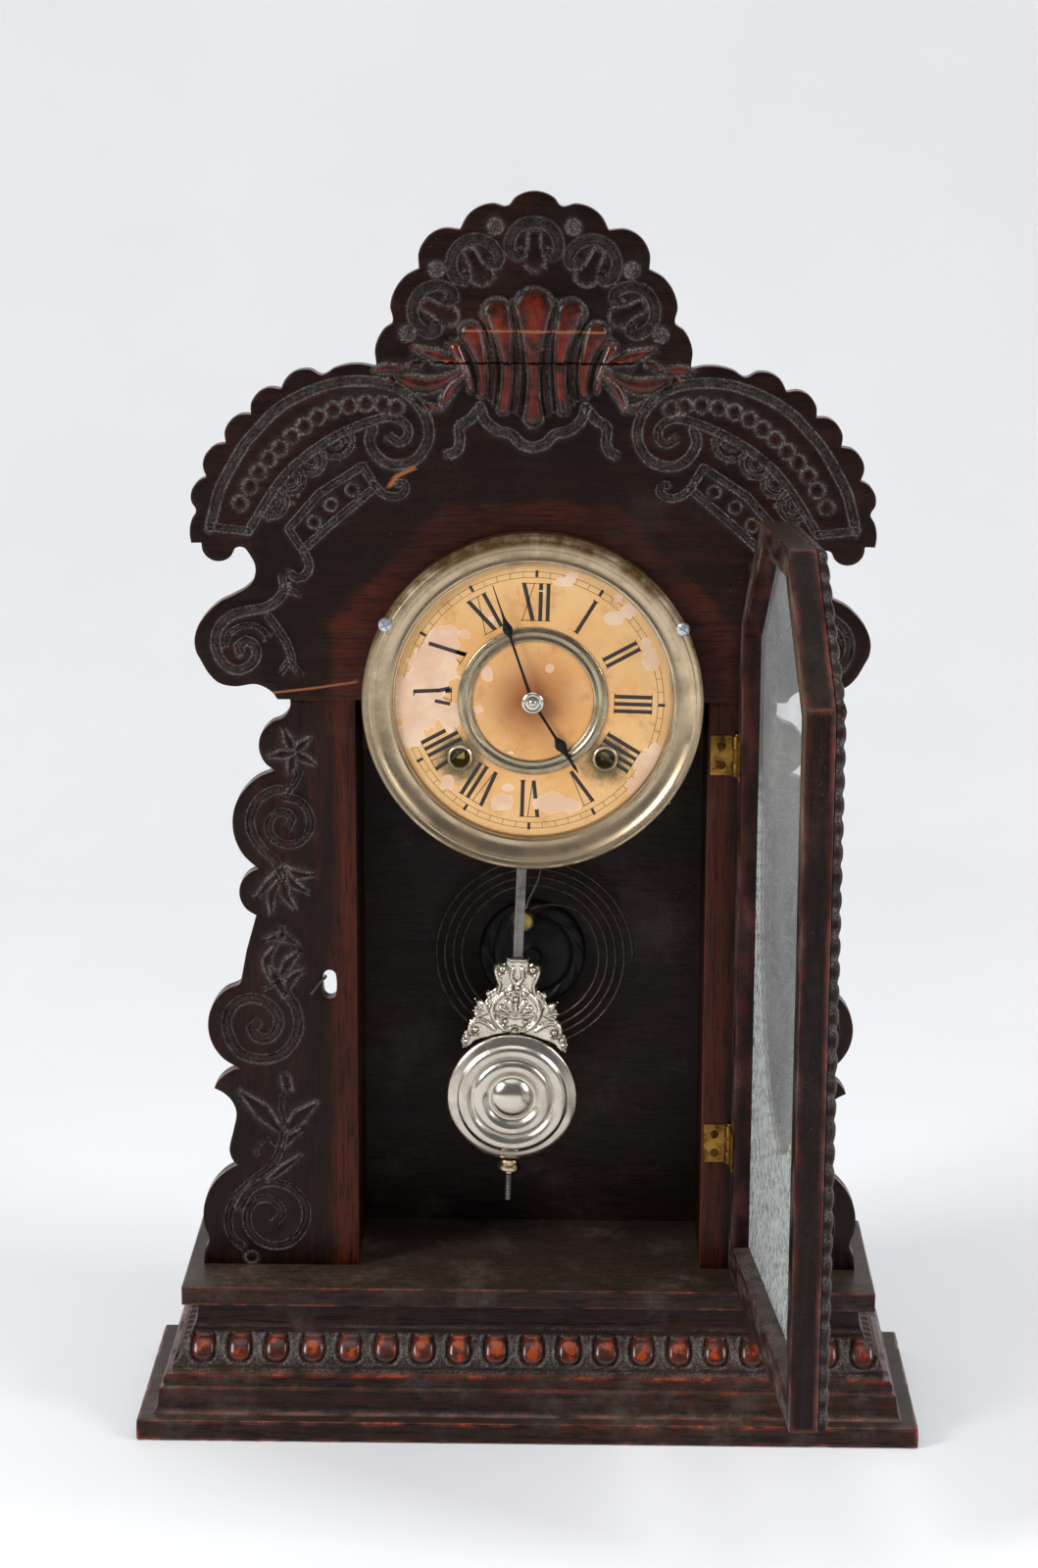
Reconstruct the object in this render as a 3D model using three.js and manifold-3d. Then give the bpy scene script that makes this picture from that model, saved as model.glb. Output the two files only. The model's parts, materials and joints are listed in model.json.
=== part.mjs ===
// Shelf clock with a pressed-wood front, an open glazed door, a striking movement and a pendulum.
// Millimetres. X runs to the right seen from the front, Y into the depth, Z up.
// The origin is on the floor, on the centre line, below the front face of the front boards.
import * as THREE from 'three';
import { mergeVertices } from 'three/addons/utils/BufferGeometryUtils.js';
import Module from 'manifold-3d';

const wasm = await Module();
wasm.setup();

// ---------- driving dimensions ----------

const GAP = 0.3; // between a piece and its seat, where the two don't share a flat face
const TAU = 2 * Math.PI;

// base
const SLAB_BEVEL = 2.8; // how far the slab's sides lean in
const SLAB_TOP = 10;
const PLATFORM_HALF = 159.4;
const PLATFORM_FRONT = 29.4; // in front of the front boards
const SLAB_OVERHANG = 19.6; // of the slab's foot beyond the platform
const SLAB_HALF = PLATFORM_HALF + SLAB_OVERHANG;
const SLAB_FRONT = PLATFORM_FRONT + SLAB_OVERHANG;
const PLATFORM_BOTTOM = 58.4;
const PLATFORM_TOP = 67.4;
const MOULDING_DEPTH = 20; // wood behind the platform's edge line

// case
const CASE_BACK = 66.7; // back of the whole clock, behind the front face of the boards
const BACK_BOARD = 4;
const FRONT_BOARD = 8;
const SIDE_BOARD = 8;
const OPENING_HALF = 79.5;
const JOINT_LINE = 337.3; // where the fret boards meet the head board
const CREST_LINE = 489; // where the crest is glued on
const CASE_TOP = 440;
const TOP_BOARD = 8;
const DRAWING_RISE = 4.3; // the front boards' drawing starts this far above the floor
const RAIL_HEIGHT = 12;
const LOWER_RAIL = 304; // underside of the rails that carry the movement
const UPPER_RAIL = 366;

// latch slot in the left fret board
const SLOT = { x: -92, z: 204.1, width: 6, height: 13.5 };
const KEEPER_WIRE = 0.6;

// door, drawn closed: u runs from the hinge axis to the latch edge, t forward from the back face
const HINGE_X = 92.6;
const HINGE_Y = -2.2;
const DOOR_OPEN_DEG = 95.4;
const DOOR_WIDTH = 185.4;
const DOOR_BOTTOM = 68.4;
const DOOR_SHOULDER = 373;
const DOOR_CORNER = 55.3;
const DOOR_THICK = 12;
const DOOR_STILE = 12;
const DOOR_BOTTOM_RAIL = 16;
const DOOR_LIP = 3; // the front lip that the glass lies behind
const DOOR_LIP_THICK = 2.5;
const GLASS_THICK = 1.6;
const BEAD_WIDTH = 6.5;
const BEAD_THICK = 4.4;
const MITRE_GAP = 0.2;

// hinges
const HINGE_HEIGHTS = { upper: 313.3, lower: 129.3 };
const LEAF_HEIGHT = 18.2;
const LEAF_WIDTH = 12;
const LEAF_THICK = 0.7;
const KNUCKLE_R = 2;
const PIN_R = 0.8;
const PIN_HEAD = 0.8; // height of the pin's head
const LEAF_SEAT = 0.25; // between the door's back face and its leaf
const LEAF_RELIEF = 0.1; // how much shorter a leaf is than the way to its knuckles

// dial
const DIAL_X = 0.5;
const DIAL_Z = 337.9;
const PAN_R = 76.7;
const PAN_SHEET = 0.6;
const RIM_Y = -7.6; // front of the pan's rim
const FLOOR_Y = -1.6; // front of the pan's floor
const PAPER_R = 62.2;
const PAPER_THICK = 0.3;
const RING = { inner: 27.2, outer: 33.8, height: 1.5 };
const WINDING_X = 32.7; // winding arbors, from the dial's centre
const WINDING_Z = -26.3;
const GROMMET = { flange: 5.9, outer: 4.75, inner: 4.35, height: 0.7, behind: 0.6 }; // behind the pan
const DIAL_SCREWS = { left: [-65.3, 373.3], right: [67.1, 372.2] };
const SCREW = { head: 2.8, shank: 1.1, headHeight: 1.3, intoBoard: 5 };
const CUTOUT_R = 66; // opening in the head board behind the dial

// hands
const MINUTE_HAND = { length: 56.3, diamond: 36.6, angle: -18.8, y: -6 };
const HOUR_HAND = { length: 38.5, diamond: 24.4, angle: 147.5, y: -4.4 };
const HAND_THICK = 0.5;
const ARBOR_R = 1.2;
const PIPE_R = 2.6;
const NUT = { r: 4.9, hole: 1.5, front: -7.5, back: -6.3 };

// movement
const PLATE_THICK = 1.2;
const FRONT_PLATE = 18;
const BACK_PLATE = 47;
const PLATE = { half: 63, low: -52, high: 45 }; // from the dial's centre
const PILLAR_INSET = 5; // of the pillars from the plates' edges
const PILLAR = {
  x: PLATE.half - PILLAR_INSET,
  low: PLATE.low + PILLAR_INSET,
  high: PLATE.high - PILLAR_INSET,
  r: 3,
  tenon: 2,
};
const PIVOT_R = 0.8;
const WINDING_R = 3;
const WINDING_FRONT = 4; // front end of the winding squares
const SPRING = { outer: 22, turns: 4.5, strip: 0.8, front: 22, back: 38 };
const PINION_LEAVES = 6;
const TRAIN = {
  great: { teeth: 36, module: 1.39, y: 44 },
  second: { teeth: 33, module: 1.33, y: 40.6 },
  centre: { teeth: 30, module: 1.2, y: 36 },
  third: { teeth: 27, module: 1.13, y: 28 },
};
const WHEEL_THICK = 1.4;
const PINION_OVERHANG = 0.8; // a pinion's leaves are longer than its wheel is thick, by this at each end
const RATCHET = { r: 9, thick: 1.6 };
const ESCAPE = { teeth: 24, r: 11, tooth: 3.2, thick: 1, y: 22.2, above: 24.5 }; // above the centre arbor
const STRIKE_SECOND_DEG = 103; // direction of the second arbor from the strike arbor

// pendulum, drawn hanging straight from the suspension
const SUSPENSION = new THREE.Vector3(0, 12, 376.3);
const PENDULUM_TILT_DEG = 2.07;
const ROD = { half: 2.25, thick: 1.2, end: 206, stem: 1.1, stemEnd: 280 };
const ROD_LOOP = { centre: 38.5, half: 6.5, outer: 9, length: 8 };
const BOB = { r: 30.5, at: 229.2, front: 4.6, back: 13.5 };
const RATING_NUT = { r: 5.5, height: 6.6, below: 0.3 };
const ORNAMENT_THICK = 2.2;
const ORNAMENT_FEET = [20, 12, 5]; // points along the bob's rim
const ORNAMENT_HALF = [ // from the suspension down
  [5.7, -162], [5.7, -166], [11, -168.5], [11.5, -176], [8, -182], [9, -186], [13, -192], [18, -196.5],
  [24, -202.5], [23.6, -207],
];

// striking
const HAMMER = {
  pivotX: 6.5, pivotZ: 291.9, y: 50, ballX: -4, ballZ: 221.3, ballR: 6.2, ballEdge: 1.2, ballHalf: 2.5,
  stalk: [[6, 265], [3.4, 242], [-1.6, 231]], stalkR: 0.8,
};
const GONG = { x: 0.3, z: 202.9, baseR: 25.3, domeR: 18, postR: 4, coilY: 55, wire: 0.6 };
const COIL = { outer: 47.5, inner: 31, turns: 4.1 };

// ---------- materials ----------

const material = (color, roughness, metalness = 0, extra = {}) =>
  new THREE.MeshStandardMaterial({ color, roughness, metalness, flatShading: true, ...extra });

const stainedWood = material('#24140f', 0.45);
const rawWood = material('#5a4334', 0.8);
const brass = material('#a8883f', 0.4, 1);
const steel = material('#6f7073', 0.4, 1);
const nickel = material('#b9b4a6', 0.3, 1);
const blackIron = material('#171615', 0.6, 0.6);
const paper = material('#dca766', 0.9);
const glass = material('#aeb8b8', 0.08, 0, { transparent: true, opacity: 0.35 });

// ---------- solids ----------

// Merges a geometry's vertices, drops collapsed triangles and turns its faces outwards.
function closed(source) {
  const bare = source.clone();
  for (const name of Object.keys(bare.attributes)) {
    if (name !== 'position') bare.deleteAttribute(name);
  }
  const merged = mergeVertices(bare, 1e-4);
  const index = [...merged.index.array];
  const position = merged.attributes.position;
  const a = new THREE.Vector3();
  const b = new THREE.Vector3();
  const c = new THREE.Vector3();
  const kept = [];
  let volume = 0;
  for (let i = 0; i < index.length; i += 3) {
    const [p, q, r] = index.slice(i, i + 3);
    if (p === q || q === r || r === p) continue;
    a.fromBufferAttribute(position, p);
    b.fromBufferAttribute(position, q);
    c.fromBufferAttribute(position, r);
    volume += a.dot(b.cross(c));
    kept.push(p, q, r);
  }
  if (volume < 0) {
    for (let i = 0; i < kept.length; i += 3) [kept[i], kept[i + 1]] = [kept[i + 1], kept[i]];
  }
  merged.setIndex(kept);
  return merged;
}

function toManifold(geometry) {
  const solid = closed(geometry);
  const mesh = new wasm.Mesh({
    numProp: 3,
    vertProperties: new Float32Array(solid.attributes.position.array),
    triVerts: new Uint32Array(solid.index.array),
  });
  return new wasm.Manifold(mesh);
}

function fromManifold(manifold) {
  const mesh = manifold.getMesh();
  const geometry = new THREE.BufferGeometry();
  geometry.setAttribute('position', new THREE.BufferAttribute(new Float32Array(mesh.vertProperties), 3));
  geometry.setIndex([...mesh.triVerts]);
  return geometry;
}

const cut = (body, ...tools) =>
  fromManifold(tools.reduce((rest, tool) => rest.subtract(toManifold(tool)), toManifold(body)));

const join = (first, ...others) =>
  fromManifold(others.reduce((sum, other) => sum.add(toManifold(other)), toManifold(first)));

function mesh(name, geometry, look) {
  const shape = closed(geometry);
  shape.computeVertexNormals();
  const node = new THREE.Mesh(shape, look);
  node.name = name;
  return node;
}

function box(x0, x1, y0, y1, z0, z1) {
  const geometry = new THREE.BoxGeometry(x1 - x0, y1 - y0, z1 - z0);
  return geometry.translate((x0 + x1) / 2, (y0 + y1) / 2, (z0 + z1) / 2);
}

// A rod along Y between two depths, with its axis at x, z.
function rod(x, z, radius, front, back, sides = 8) {
  return new THREE.CylinderGeometry(radius, radius, back - front, sides)
    .rotateY(Math.PI / sides)
    .translate(x, (front + back) / 2, z);
}

const toPath = (points) => points.map(([x, z]) => new THREE.Vector2(x, z));

// An outline in X and Z, with optional holes, between two depths.
function slab(points, front, back, holes = []) {
  const path = toPath(points);
  if (THREE.ShapeUtils.isClockWise(path)) path.reverse();
  const shape = new THREE.Shape(path);
  for (const hole of holes) shape.holes.push(new THREE.Path(toPath(hole)));
  return new THREE.ExtrudeGeometry(shape, { depth: back - front, bevelEnabled: false })
    .rotateX(Math.PI / 2)
    .translate(0, back, 0);
}

// A profile of [radius, y] pairs turned about an axis along Y at x, z.
const turned = (profile, x, z, segments = 40) =>
  new THREE.LatheGeometry(toPath(profile), segments).translate(x, 0, z);

function circle(x, z, radius, sides) {
  return Array.from({ length: sides }, (_, i) => {
    const angle = (i * TAU) / sides;
    return [x + radius * Math.cos(angle), z + radius * Math.sin(angle)];
  });
}

// A wire of a few sides along a smooth curve through the points.
function wire(points, radius, steps, sides = 5) {
  const curve = new THREE.CatmullRomCurve3(points.map((p) => new THREE.Vector3(...p)));
  const section = new THREE.Shape(toPath(circle(0, 0, radius, sides)));
  return new THREE.ExtrudeGeometry(section, { steps, extrudePath: curve });
}

const mirrored = (points) => points.map(([x, z]) => [-x, z]).reverse();
const raised = (points) => points.map(([x, z]) => [x, z + DRAWING_RISE]);

// Points of the arc from a through t to b, without a and with b.
function arc([ax, az], [tx, tz], [bx, bz], steps = 4) {
  const d = 2 * (ax * (tz - bz) + tx * (bz - az) + bx * (az - tz));
  const a2 = ax * ax + az * az;
  const t2 = tx * tx + tz * tz;
  const b2 = bx * bx + bz * bz;
  const cx = (a2 * (tz - bz) + t2 * (bz - az) + b2 * (az - tz)) / d;
  const cz = (a2 * (bx - tx) + t2 * (ax - bx) + b2 * (tx - ax)) / d;
  const radius = Math.hypot(ax - cx, az - cz);
  const start = Math.atan2(az - cz, ax - cx);
  const wrap = (angle) => ((angle % TAU) + TAU) % TAU;
  const through = wrap(Math.atan2(tz - cz, tx - cx) - start);
  let sweep = wrap(Math.atan2(bz - cz, bx - cx) - start);
  if (through > sweep) sweep -= TAU;
  return Array.from({ length: steps }, (_, i) => {
    const angle = start + (sweep * (i + 1)) / steps;
    return [cx + radius * Math.cos(angle), cz + radius * Math.sin(angle)];
  });
}

// A row of round lobes: each entry is the lobe's crown and the valley that ends it.
function lobes(start, row, steps) {
  const points = [start];
  for (const [crown, valley] of row) points.push(...arc(points.at(-1), crown, valley, steps));
  return points;
}

// A smooth curve through the points, with the given number of steps between two of them.
function smooth(points, steps = 2) {
  const curve = new THREE.SplineCurve(toPath(points));
  return curve.getPoints((points.length - 1) * steps).map((p) => [p.x, p.y]);
}

// ---------- base ----------

function baseSlab() {
  const geometry = box(-SLAB_HALF, SLAB_HALF, -SLAB_FRONT, CASE_BACK, 0, SLAB_TOP);
  const position = geometry.attributes.position;
  for (let i = 0; i < position.count; i += 1) {
    if (position.getZ(i) < SLAB_TOP / 2) continue;
    position.setX(i, Math.sign(position.getX(i)) * (SLAB_HALF - SLAB_BEVEL));
    if (position.getY(i) < 0) position.setY(i, SLAB_BEVEL - SLAB_FRONT);
  }
  return mesh('base_slab', geometry, stainedWood);
}

// The moulding's section: how far it stands out of the platform's edge line, and its height.
const MOULDING_PROFILE = [
  [-MOULDING_DEPTH, SLAB_TOP],
  [12.8, SLAB_TOP],
  [10.9, 12],
  [10.2, 17.2],
  [9.6, 21.5],
  [7.7, 22.3],
  [8.1, 25],
  [7.1, 27.6],
  [4.1, 28],
  [3.8, 31.7],
  [2.9, 34.6],
  [0.9, 37.6],
  [-1.3, 40.3],
  [-3.6, 42],
  [-4.7, 45.1],
  [-6.4, 49.6],
  [-7, 54.5],
  [-7, PLATFORM_BOTTOM],
  [-MOULDING_DEPTH, PLATFORM_BOTTOM],
];

// A bar between two ends, each made by placing every point of the section.
function bar(profile, placeStart, placeEnd) {
  const count = profile.length;
  const vertices = [...profile.map(placeStart), ...profile.map(placeEnd)].flat();
  const index = [];
  for (const [p, q, r] of THREE.ShapeUtils.triangulateShape(toPath(profile), [])) {
    index.push(p, q, r, count + p, count + r, count + q);
  }
  for (let i = 0; i < count; i += 1) {
    const next = (i + 1) % count;
    index.push(next, i, count + i, next, count + i, count + next);
  }
  const geometry = new THREE.BufferGeometry();
  geometry.setAttribute('position', new THREE.Float32BufferAttribute(vertices, 3));
  geometry.setIndex(index);
  return geometry;
}

function baseMouldings() {
  const corner = (side) => ([out, z]) => [side * (PLATFORM_HALF + out), -(PLATFORM_FRONT + out), z];
  const rear = (side) => ([out, z]) => [side * (PLATFORM_HALF + out), CASE_BACK, z];
  return [
    mesh('base_front_moulding', bar(MOULDING_PROFILE, corner(-1), corner(1)), stainedWood),
    mesh('base_left_moulding', bar(MOULDING_PROFILE, corner(-1), rear(-1)), stainedWood),
    mesh('base_right_moulding', bar(MOULDING_PROFILE, corner(1), rear(1)), stainedWood),
  ];
}

function platformBoard() {
  const edges = [-PLATFORM_HALF, PLATFORM_HALF, -PLATFORM_FRONT, CASE_BACK];
  return mesh('platform_board', box(...edges, PLATFORM_BOTTOM, PLATFORM_TOP), stainedWood);
}

// ---------- case ----------

function caseBoards() {
  const inner = CASE_BACK - BACK_BOARD;
  const outer = OPENING_HALF + SIDE_BOARD;
  const side = (from, to) => box(from, to, FRONT_BOARD, inner, PLATFORM_TOP, CASE_TOP);
  const roof = box(-outer, outer, FRONT_BOARD, inner, CASE_TOP, CASE_TOP + TOP_BOARD);
  const back = box(-outer, outer, inner, CASE_BACK, PLATFORM_TOP, CASE_TOP + TOP_BOARD);
  const rail = (z) => {
    const front = BACK_PLATE + PLATE_THICK + GAP;
    return box(-OPENING_HALF, OPENING_HALF, front, inner, z, z + RAIL_HEIGHT);
  };
  return [
    mesh('case_left_side', side(-outer, -OPENING_HALF), stainedWood),
    mesh('case_right_side', side(OPENING_HALF, outer), stainedWood),
    mesh('case_top_board', roof, rawWood),
    mesh('back_board', back, rawWood),
    mesh('lower_movement_rail', rail(LOWER_RAIL), rawWood),
    mesh('upper_movement_rail', rail(UPPER_RAIL), rawWood),
  ];
}

// ---------- front boards: the left half of each outline, from the centre outwards ----------

const CREST_LOBES = [
  [[-24.1, 552.2], [-32.5, 542.4]],
  [[-46.5, 539.3], [-50.3, 525.5]],
  [[-61.2, 515.8], [-62, 502.2]],
  [[-69.1, 493.1], [-69.2, CREST_LINE - DRAWING_RISE]],
];
const CREST_VALLEY = [-11.8, 552.6];
const CREST_APEX = [0, 559];

const SHOULDER_START = [-69.2, 482.4];
const SHOULDER_LOBES = [
  [[-81, 483.5], [-93.2, 478.8]],
  [[-103.9, 480.7], [-111.4, 472.5]],
  [[-121.5, 470.8], [-124.7, 461.3]],
  [[-134.4, 457.8], [-135.9, 448.4]],
  [[-145.2, 443], [-144.8, 433.4]],
  [[-151.6, 426.6], [-149.6, 418.3]],
  [[-152.4, 411], [-152, 403.8]],
];
const TIP_DROP = [-147.5, 403.9];
const TIP_LOBE = [[-139.7, 395.6], [-132.5, 401.5]];
const EAR = [
  [-129, 402], [-126.2, 399], [-123.6, 393.3], [-124.4, 387.8], [-127.8, 383.9], [-134.4, 380],
  [-140, 377.2], [-145.6, 372.2], [-149.4, 366.7], [-151.3, 360], [-150.6, 354.4], [-148.9, 351.1],
  [-145, 344.4], [-140.6, 340.3], [-133.9, 338.8], [-123.9, 339.8], [-119.4, 338.1], [-116.1, 335.6],
];
const HEAD_CORNER_X = -114.2;

const FRET_TOP = [[-108.7, 330], [-110, 327.2], [-112.8, 324.4]];
const FRET_LOBES = [
  [[-123, 310], [-116.3, 300.2]],
  [[-135.4, 278], [-124.2, 254.2]],
  [[-132.9, 243], [-125.3, 232.2]],
];
const FRET_NECK = [[-130, 215.3], [-132.8, 200.5]];
const FRET_LOWER_LOBES = [
  [[-148.2, 180.5], [-134, 158.9]],
  [[-140.2, 156.4], [-145.8, 149.2]],
];
const FRET_THROAT = [[-141.7, 147], [-137.8, 143.1], [-135.8, 137.6], [-137.2, 129], [-139.1, 120.9]];
const FRET_FOOT_LOBES = [
  [[-138.3, 115.3], [-135.9, 112]],
  [[-151.2, 93], [-149.4, 75.1]],
];
const FRET_FOOT = [[-151.6, 69]];
const FRET_FOOT_X = -152;

function crestOutline() {
  const left = lobes(CREST_VALLEY, CREST_LOBES, 4);
  const crown = arc(mirrored([CREST_VALLEY])[0], CREST_APEX, CREST_VALLEY, 6).slice(0, -1);
  return raised([...crown, ...left, ...mirrored(left)]);
}

function headOutline() {
  const shoulder = lobes(SHOULDER_START, SHOULDER_LOBES, 4);
  const tip = [TIP_DROP, ...arc(TIP_DROP, ...TIP_LOBE, 6)];
  const left = raised([...shoulder, ...tip, ...smooth(EAR, 1)]);
  left.unshift([SHOULDER_START[0], CREST_LINE]);
  left.push([HEAD_CORNER_X, JOINT_LINE]);
  const cutout = circle(DIAL_X, JOINT_LINE, CUTOUT_R, 40).filter(([, z]) => z > JOINT_LINE + 1);
  const archStart = [DIAL_X - CUTOUT_R, JOINT_LINE];
  const archEnd = [DIAL_X + CUTOUT_R, JOINT_LINE];
  return [...left, archStart, ...cutout.reverse(), archEnd, ...mirrored(left)];
}

function fretOutline() {
  const upper = lobes(FRET_TOP.at(-1), FRET_LOBES, 6);
  const lower = lobes(FRET_NECK.at(-1), FRET_LOWER_LOBES, 6);
  const foot = lobes(FRET_THROAT.at(-1), FRET_FOOT_LOBES, 6);
  const edge = raised([
    ...FRET_TOP.slice(0, -1), ...upper, ...FRET_NECK.slice(0, -1), ...lower,
    ...FRET_THROAT.slice(0, -1), ...foot, ...FRET_FOOT,
  ]);
  return [
    [-OPENING_HALF, JOINT_LINE], [FRET_TOP[0][0], JOINT_LINE], ...edge,
    [FRET_FOOT_X, PLATFORM_TOP], [-OPENING_HALF, PLATFORM_TOP],
  ];
}

function slotOutline() {
  const r = SLOT.width / 2;
  const rise = SLOT.height / 2 - r;
  const end = (side) => Array.from({ length: 7 }, (_, i) => {
    const angle = (side > 0 ? 0 : Math.PI) + (i * Math.PI) / 6;
    return [SLOT.x + r * Math.cos(angle), SLOT.z + side * rise + r * Math.sin(angle)];
  });
  return [...end(1), ...end(-1)];
}

function frontBoards() {
  const board = (outline, holes) => slab(outline, 0, FRONT_BOARD, holes);
  const screwHole = ([x, z]) => rod(x, z, SCREW.shank + GAP, -1, SCREW.intoBoard + GAP);
  const head = cut(board(headOutline()), screwHole(DIAL_SCREWS.left), screwHole(DIAL_SCREWS.right));
  return [
    mesh('crest_board', board(crestOutline()), stainedWood),
    mesh('head_board', head, stainedWood),
    mesh('left_fret_board', board(fretOutline(), [slotOutline()]), stainedWood),
    mesh('right_fret_board', board(mirrored(fretOutline())), stainedWood),
  ];
}

function latchKeeper() {
  const x = SLOT.x - SLOT.width / 2 + KEEPER_WIRE + GAP;
  const front = -KEEPER_WIRE - GAP;
  const path = [
    [x, FRONT_BOARD / 2, SLOT.z + 3],
    [x, 0, SLOT.z + 3],
    [x - 1.4, front - 0.3, SLOT.z + 2],
    [x - 6.4, front - 0.3, SLOT.z - 4.5],
  ];
  return mesh('latch_keeper', wire(path, KEEPER_WIRE, 12), steel);
}

// ---------- door: children of a group that turns about the hinge axis ----------

const HINGE_EDGE = KNUCKLE_R + 0.4; // the hinge stile starts beside the knuckles

const doorCorners = [
  [HINGE_EDGE, DOOR_BOTTOM],
  [HINGE_EDGE, DOOR_SHOULDER + HINGE_EDGE],
  [DOOR_CORNER, DOOR_SHOULDER + DOOR_CORNER],
  [DOOR_WIDTH - DOOR_CORNER, DOOR_SHOULDER + DOOR_CORNER],
  [DOOR_WIDTH, DOOR_SHOULDER],
  [DOOR_WIDTH, DOOR_BOTTOM],
];

// The door's outline with each side moved in by its own width; side i runs from corner i to i + 1.
function inset(corners, widths) {
  const lines = corners.map((a, i) => {
    const b = corners[(i + 1) % corners.length];
    const length = Math.hypot(b[0] - a[0], b[1] - a[1]);
    const dir = [(b[0] - a[0]) / length, (b[1] - a[1]) / length];
    return { dir, at: [a[0] + dir[1] * widths[i], a[1] - dir[0] * widths[i]] };
  });
  return lines.map((line, i) => {
    const before = lines.at(i - 1);
    const cross = before.dir[0] * line.dir[1] - before.dir[1] * line.dir[0];
    const gap = [line.at[0] - before.at[0], line.at[1] - before.at[1]];
    const along = (gap[0] * line.dir[1] - gap[1] * line.dir[0]) / cross;
    return [before.at[0] + along * before.dir[0], before.at[1] + along * before.dir[1]];
  });
}

// The widths of the frame's sides, with a step added at the stiles' inner edge.
// The bottom rail's step is in proportion, so the mitre line stays.
const doorWidths = (extra) => {
  const share = 1 + extra / DOOR_STILE;
  return [...Array(5).fill(DOOR_STILE * share), DOOR_BOTTOM_RAIL * share];
};
const doorSlab = (points, from, to, holes = []) =>
  slab(points.map(([u, z]) => [-u, z]), -to, -from, holes.map((hole) => hole.map(([u, z]) => [-u, z])));

function doorMember(name, i) {
  const quad = (inner) => {
    const next = (i + 1) % doorCorners.length;
    const [a, b] = [doorCorners[i], doorCorners[next]];
    const length = Math.hypot(b[0] - a[0], b[1] - a[1]);
    const step = [((b[0] - a[0]) / length) * MITRE_GAP, ((b[1] - a[1]) / length) * MITRE_GAP];
    const start = ([u, z]) => [u + step[0], z + step[1]];
    const end = ([u, z]) => [u - step[0], z - step[1]];
    return [start(a), end(b), end(inner[next]), start(inner[i])];
  };
  const body = doorSlab(quad(inset(doorCorners, doorWidths(0))), 0, DOOR_THICK);
  const lipOutline = quad(inset(doorCorners, doorWidths(DOOR_LIP)));
  const lip = doorSlab(lipOutline, DOOR_THICK - DOOR_LIP_THICK, DOOR_THICK);
  return mesh(name, join(body, lip), stainedWood);
}

function door() {
  const group = new THREE.Group();
  group.position.set(HINGE_X, HINGE_Y, 0);
  group.rotation.z = THREE.MathUtils.degToRad(DOOR_OPEN_DEG);
  const members = [
    'door_hinge_stile', 'door_upper_hinge_rail', 'door_top_rail',
    'door_upper_latch_rail', 'door_latch_stile', 'door_bottom_rail',
  ];
  members.forEach((name, i) => group.add(doorMember(name, i)));
  const pane = inset(doorCorners, doorWidths(GAP));
  const paneFront = DOOR_THICK - DOOR_LIP_THICK - GAP;
  group.add(mesh('door_glass', doorSlab(pane, paneFront - GLASS_THICK, paneFront), glass));
  const beadOuter = inset(doorCorners, Array(6).fill(GAP));
  const beadInner = inset(doorCorners, Array(6).fill(GAP + BEAD_WIDTH));
  const bead = doorSlab(beadOuter, DOOR_THICK + GAP, DOOR_THICK + GAP + BEAD_THICK, [beadInner]);
  group.add(mesh('door_bead', bead, stainedWood));
  for (const [name, z] of Object.entries(HINGE_HEIGHTS)) {
    group.add(mesh(`${name}_hinge_door_leaf`, doorLeaf(z), brass));
  }
  return group;
}

// ---------- hinges ----------

const KNUCKLE_HALF = LEAF_HEIGHT / 6 - GAP / 2; // half the height of the middle knuckle

// An upright cylinder on the hinge axis, between two heights.
function upright(radius, z0, z1, sides) {
  return new THREE.CylinderGeometry(radius, radius, z1 - z0, sides)
    .rotateX(Math.PI / 2)
    .translate(0, 0, (z0 + z1) / 2);
}

const knuckle = (z0, z1) => upright(KNUCKLE_R, z0, z1, 12);
const pinHole = (z) => upright(PIN_R + GAP, z - LEAF_HEIGHT, z + LEAF_HEIGHT, 10);

function doorLeaf(z) {
  const half = LEAF_HEIGHT / 2;
  const plate = [LEAF_SEAT, LEAF_SEAT + LEAF_THICK];
  const leaf = box(-LEAF_WIDTH, -HINGE_EDGE - LEAF_RELIEF, ...plate, z - half, z + half);
  const knuckles = [[-half, -half + 2 * KNUCKLE_HALF], [half - 2 * KNUCKLE_HALF, half]];
  const ends = knuckles.flatMap(([low, high]) => [
    box(-HINGE_EDGE - 0.5, 0, ...plate, z + low, z + high),
    knuckle(z + low, z + high),
  ]);
  return cut(join(leaf, ...ends), pinHole(z));
}

function caseLeaf(z) {
  const half = LEAF_HEIGHT / 2;
  const seat = -HINGE_Y; // the board's face, from the hinge axis
  const leaf = box(-LEAF_WIDTH, -HINGE_EDGE + LEAF_RELIEF, seat - LEAF_THICK, seat, z - half, z + half);
  const tongue = box(-HINGE_EDGE, 0, seat - LEAF_THICK, seat, z - KNUCKLE_HALF, z + KNUCKLE_HALF);
  return cut(join(leaf, tongue, knuckle(z - KNUCKLE_HALF, z + KNUCKLE_HALF)), pinHole(z));
}

function hinges() {
  return Object.entries(HINGE_HEIGHTS).flatMap(([name, z]) => {
    const top = LEAF_HEIGHT / 2 + GAP;
    const head = top + PIN_HEAD;
    const profile = [[0, -top], [PIN_R, -top], [PIN_R, top], [PIN_R * 2, top], [PIN_R * 2, head], [0, head]];
    const pin = new THREE.LatheGeometry(toPath(profile), 10).rotateX(Math.PI / 2);
    return [
      mesh(`${name}_hinge_case_leaf`, caseLeaf(z).translate(HINGE_X, HINGE_Y, 0), brass),
      mesh(`${name}_hinge_pin`, pin.translate(HINGE_X, HINGE_Y, z), brass),
    ];
  });
}

// ---------- dial ----------

const windingPoint = (side) => [DIAL_X + side * WINDING_X, DIAL_Z + WINDING_Z];

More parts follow.
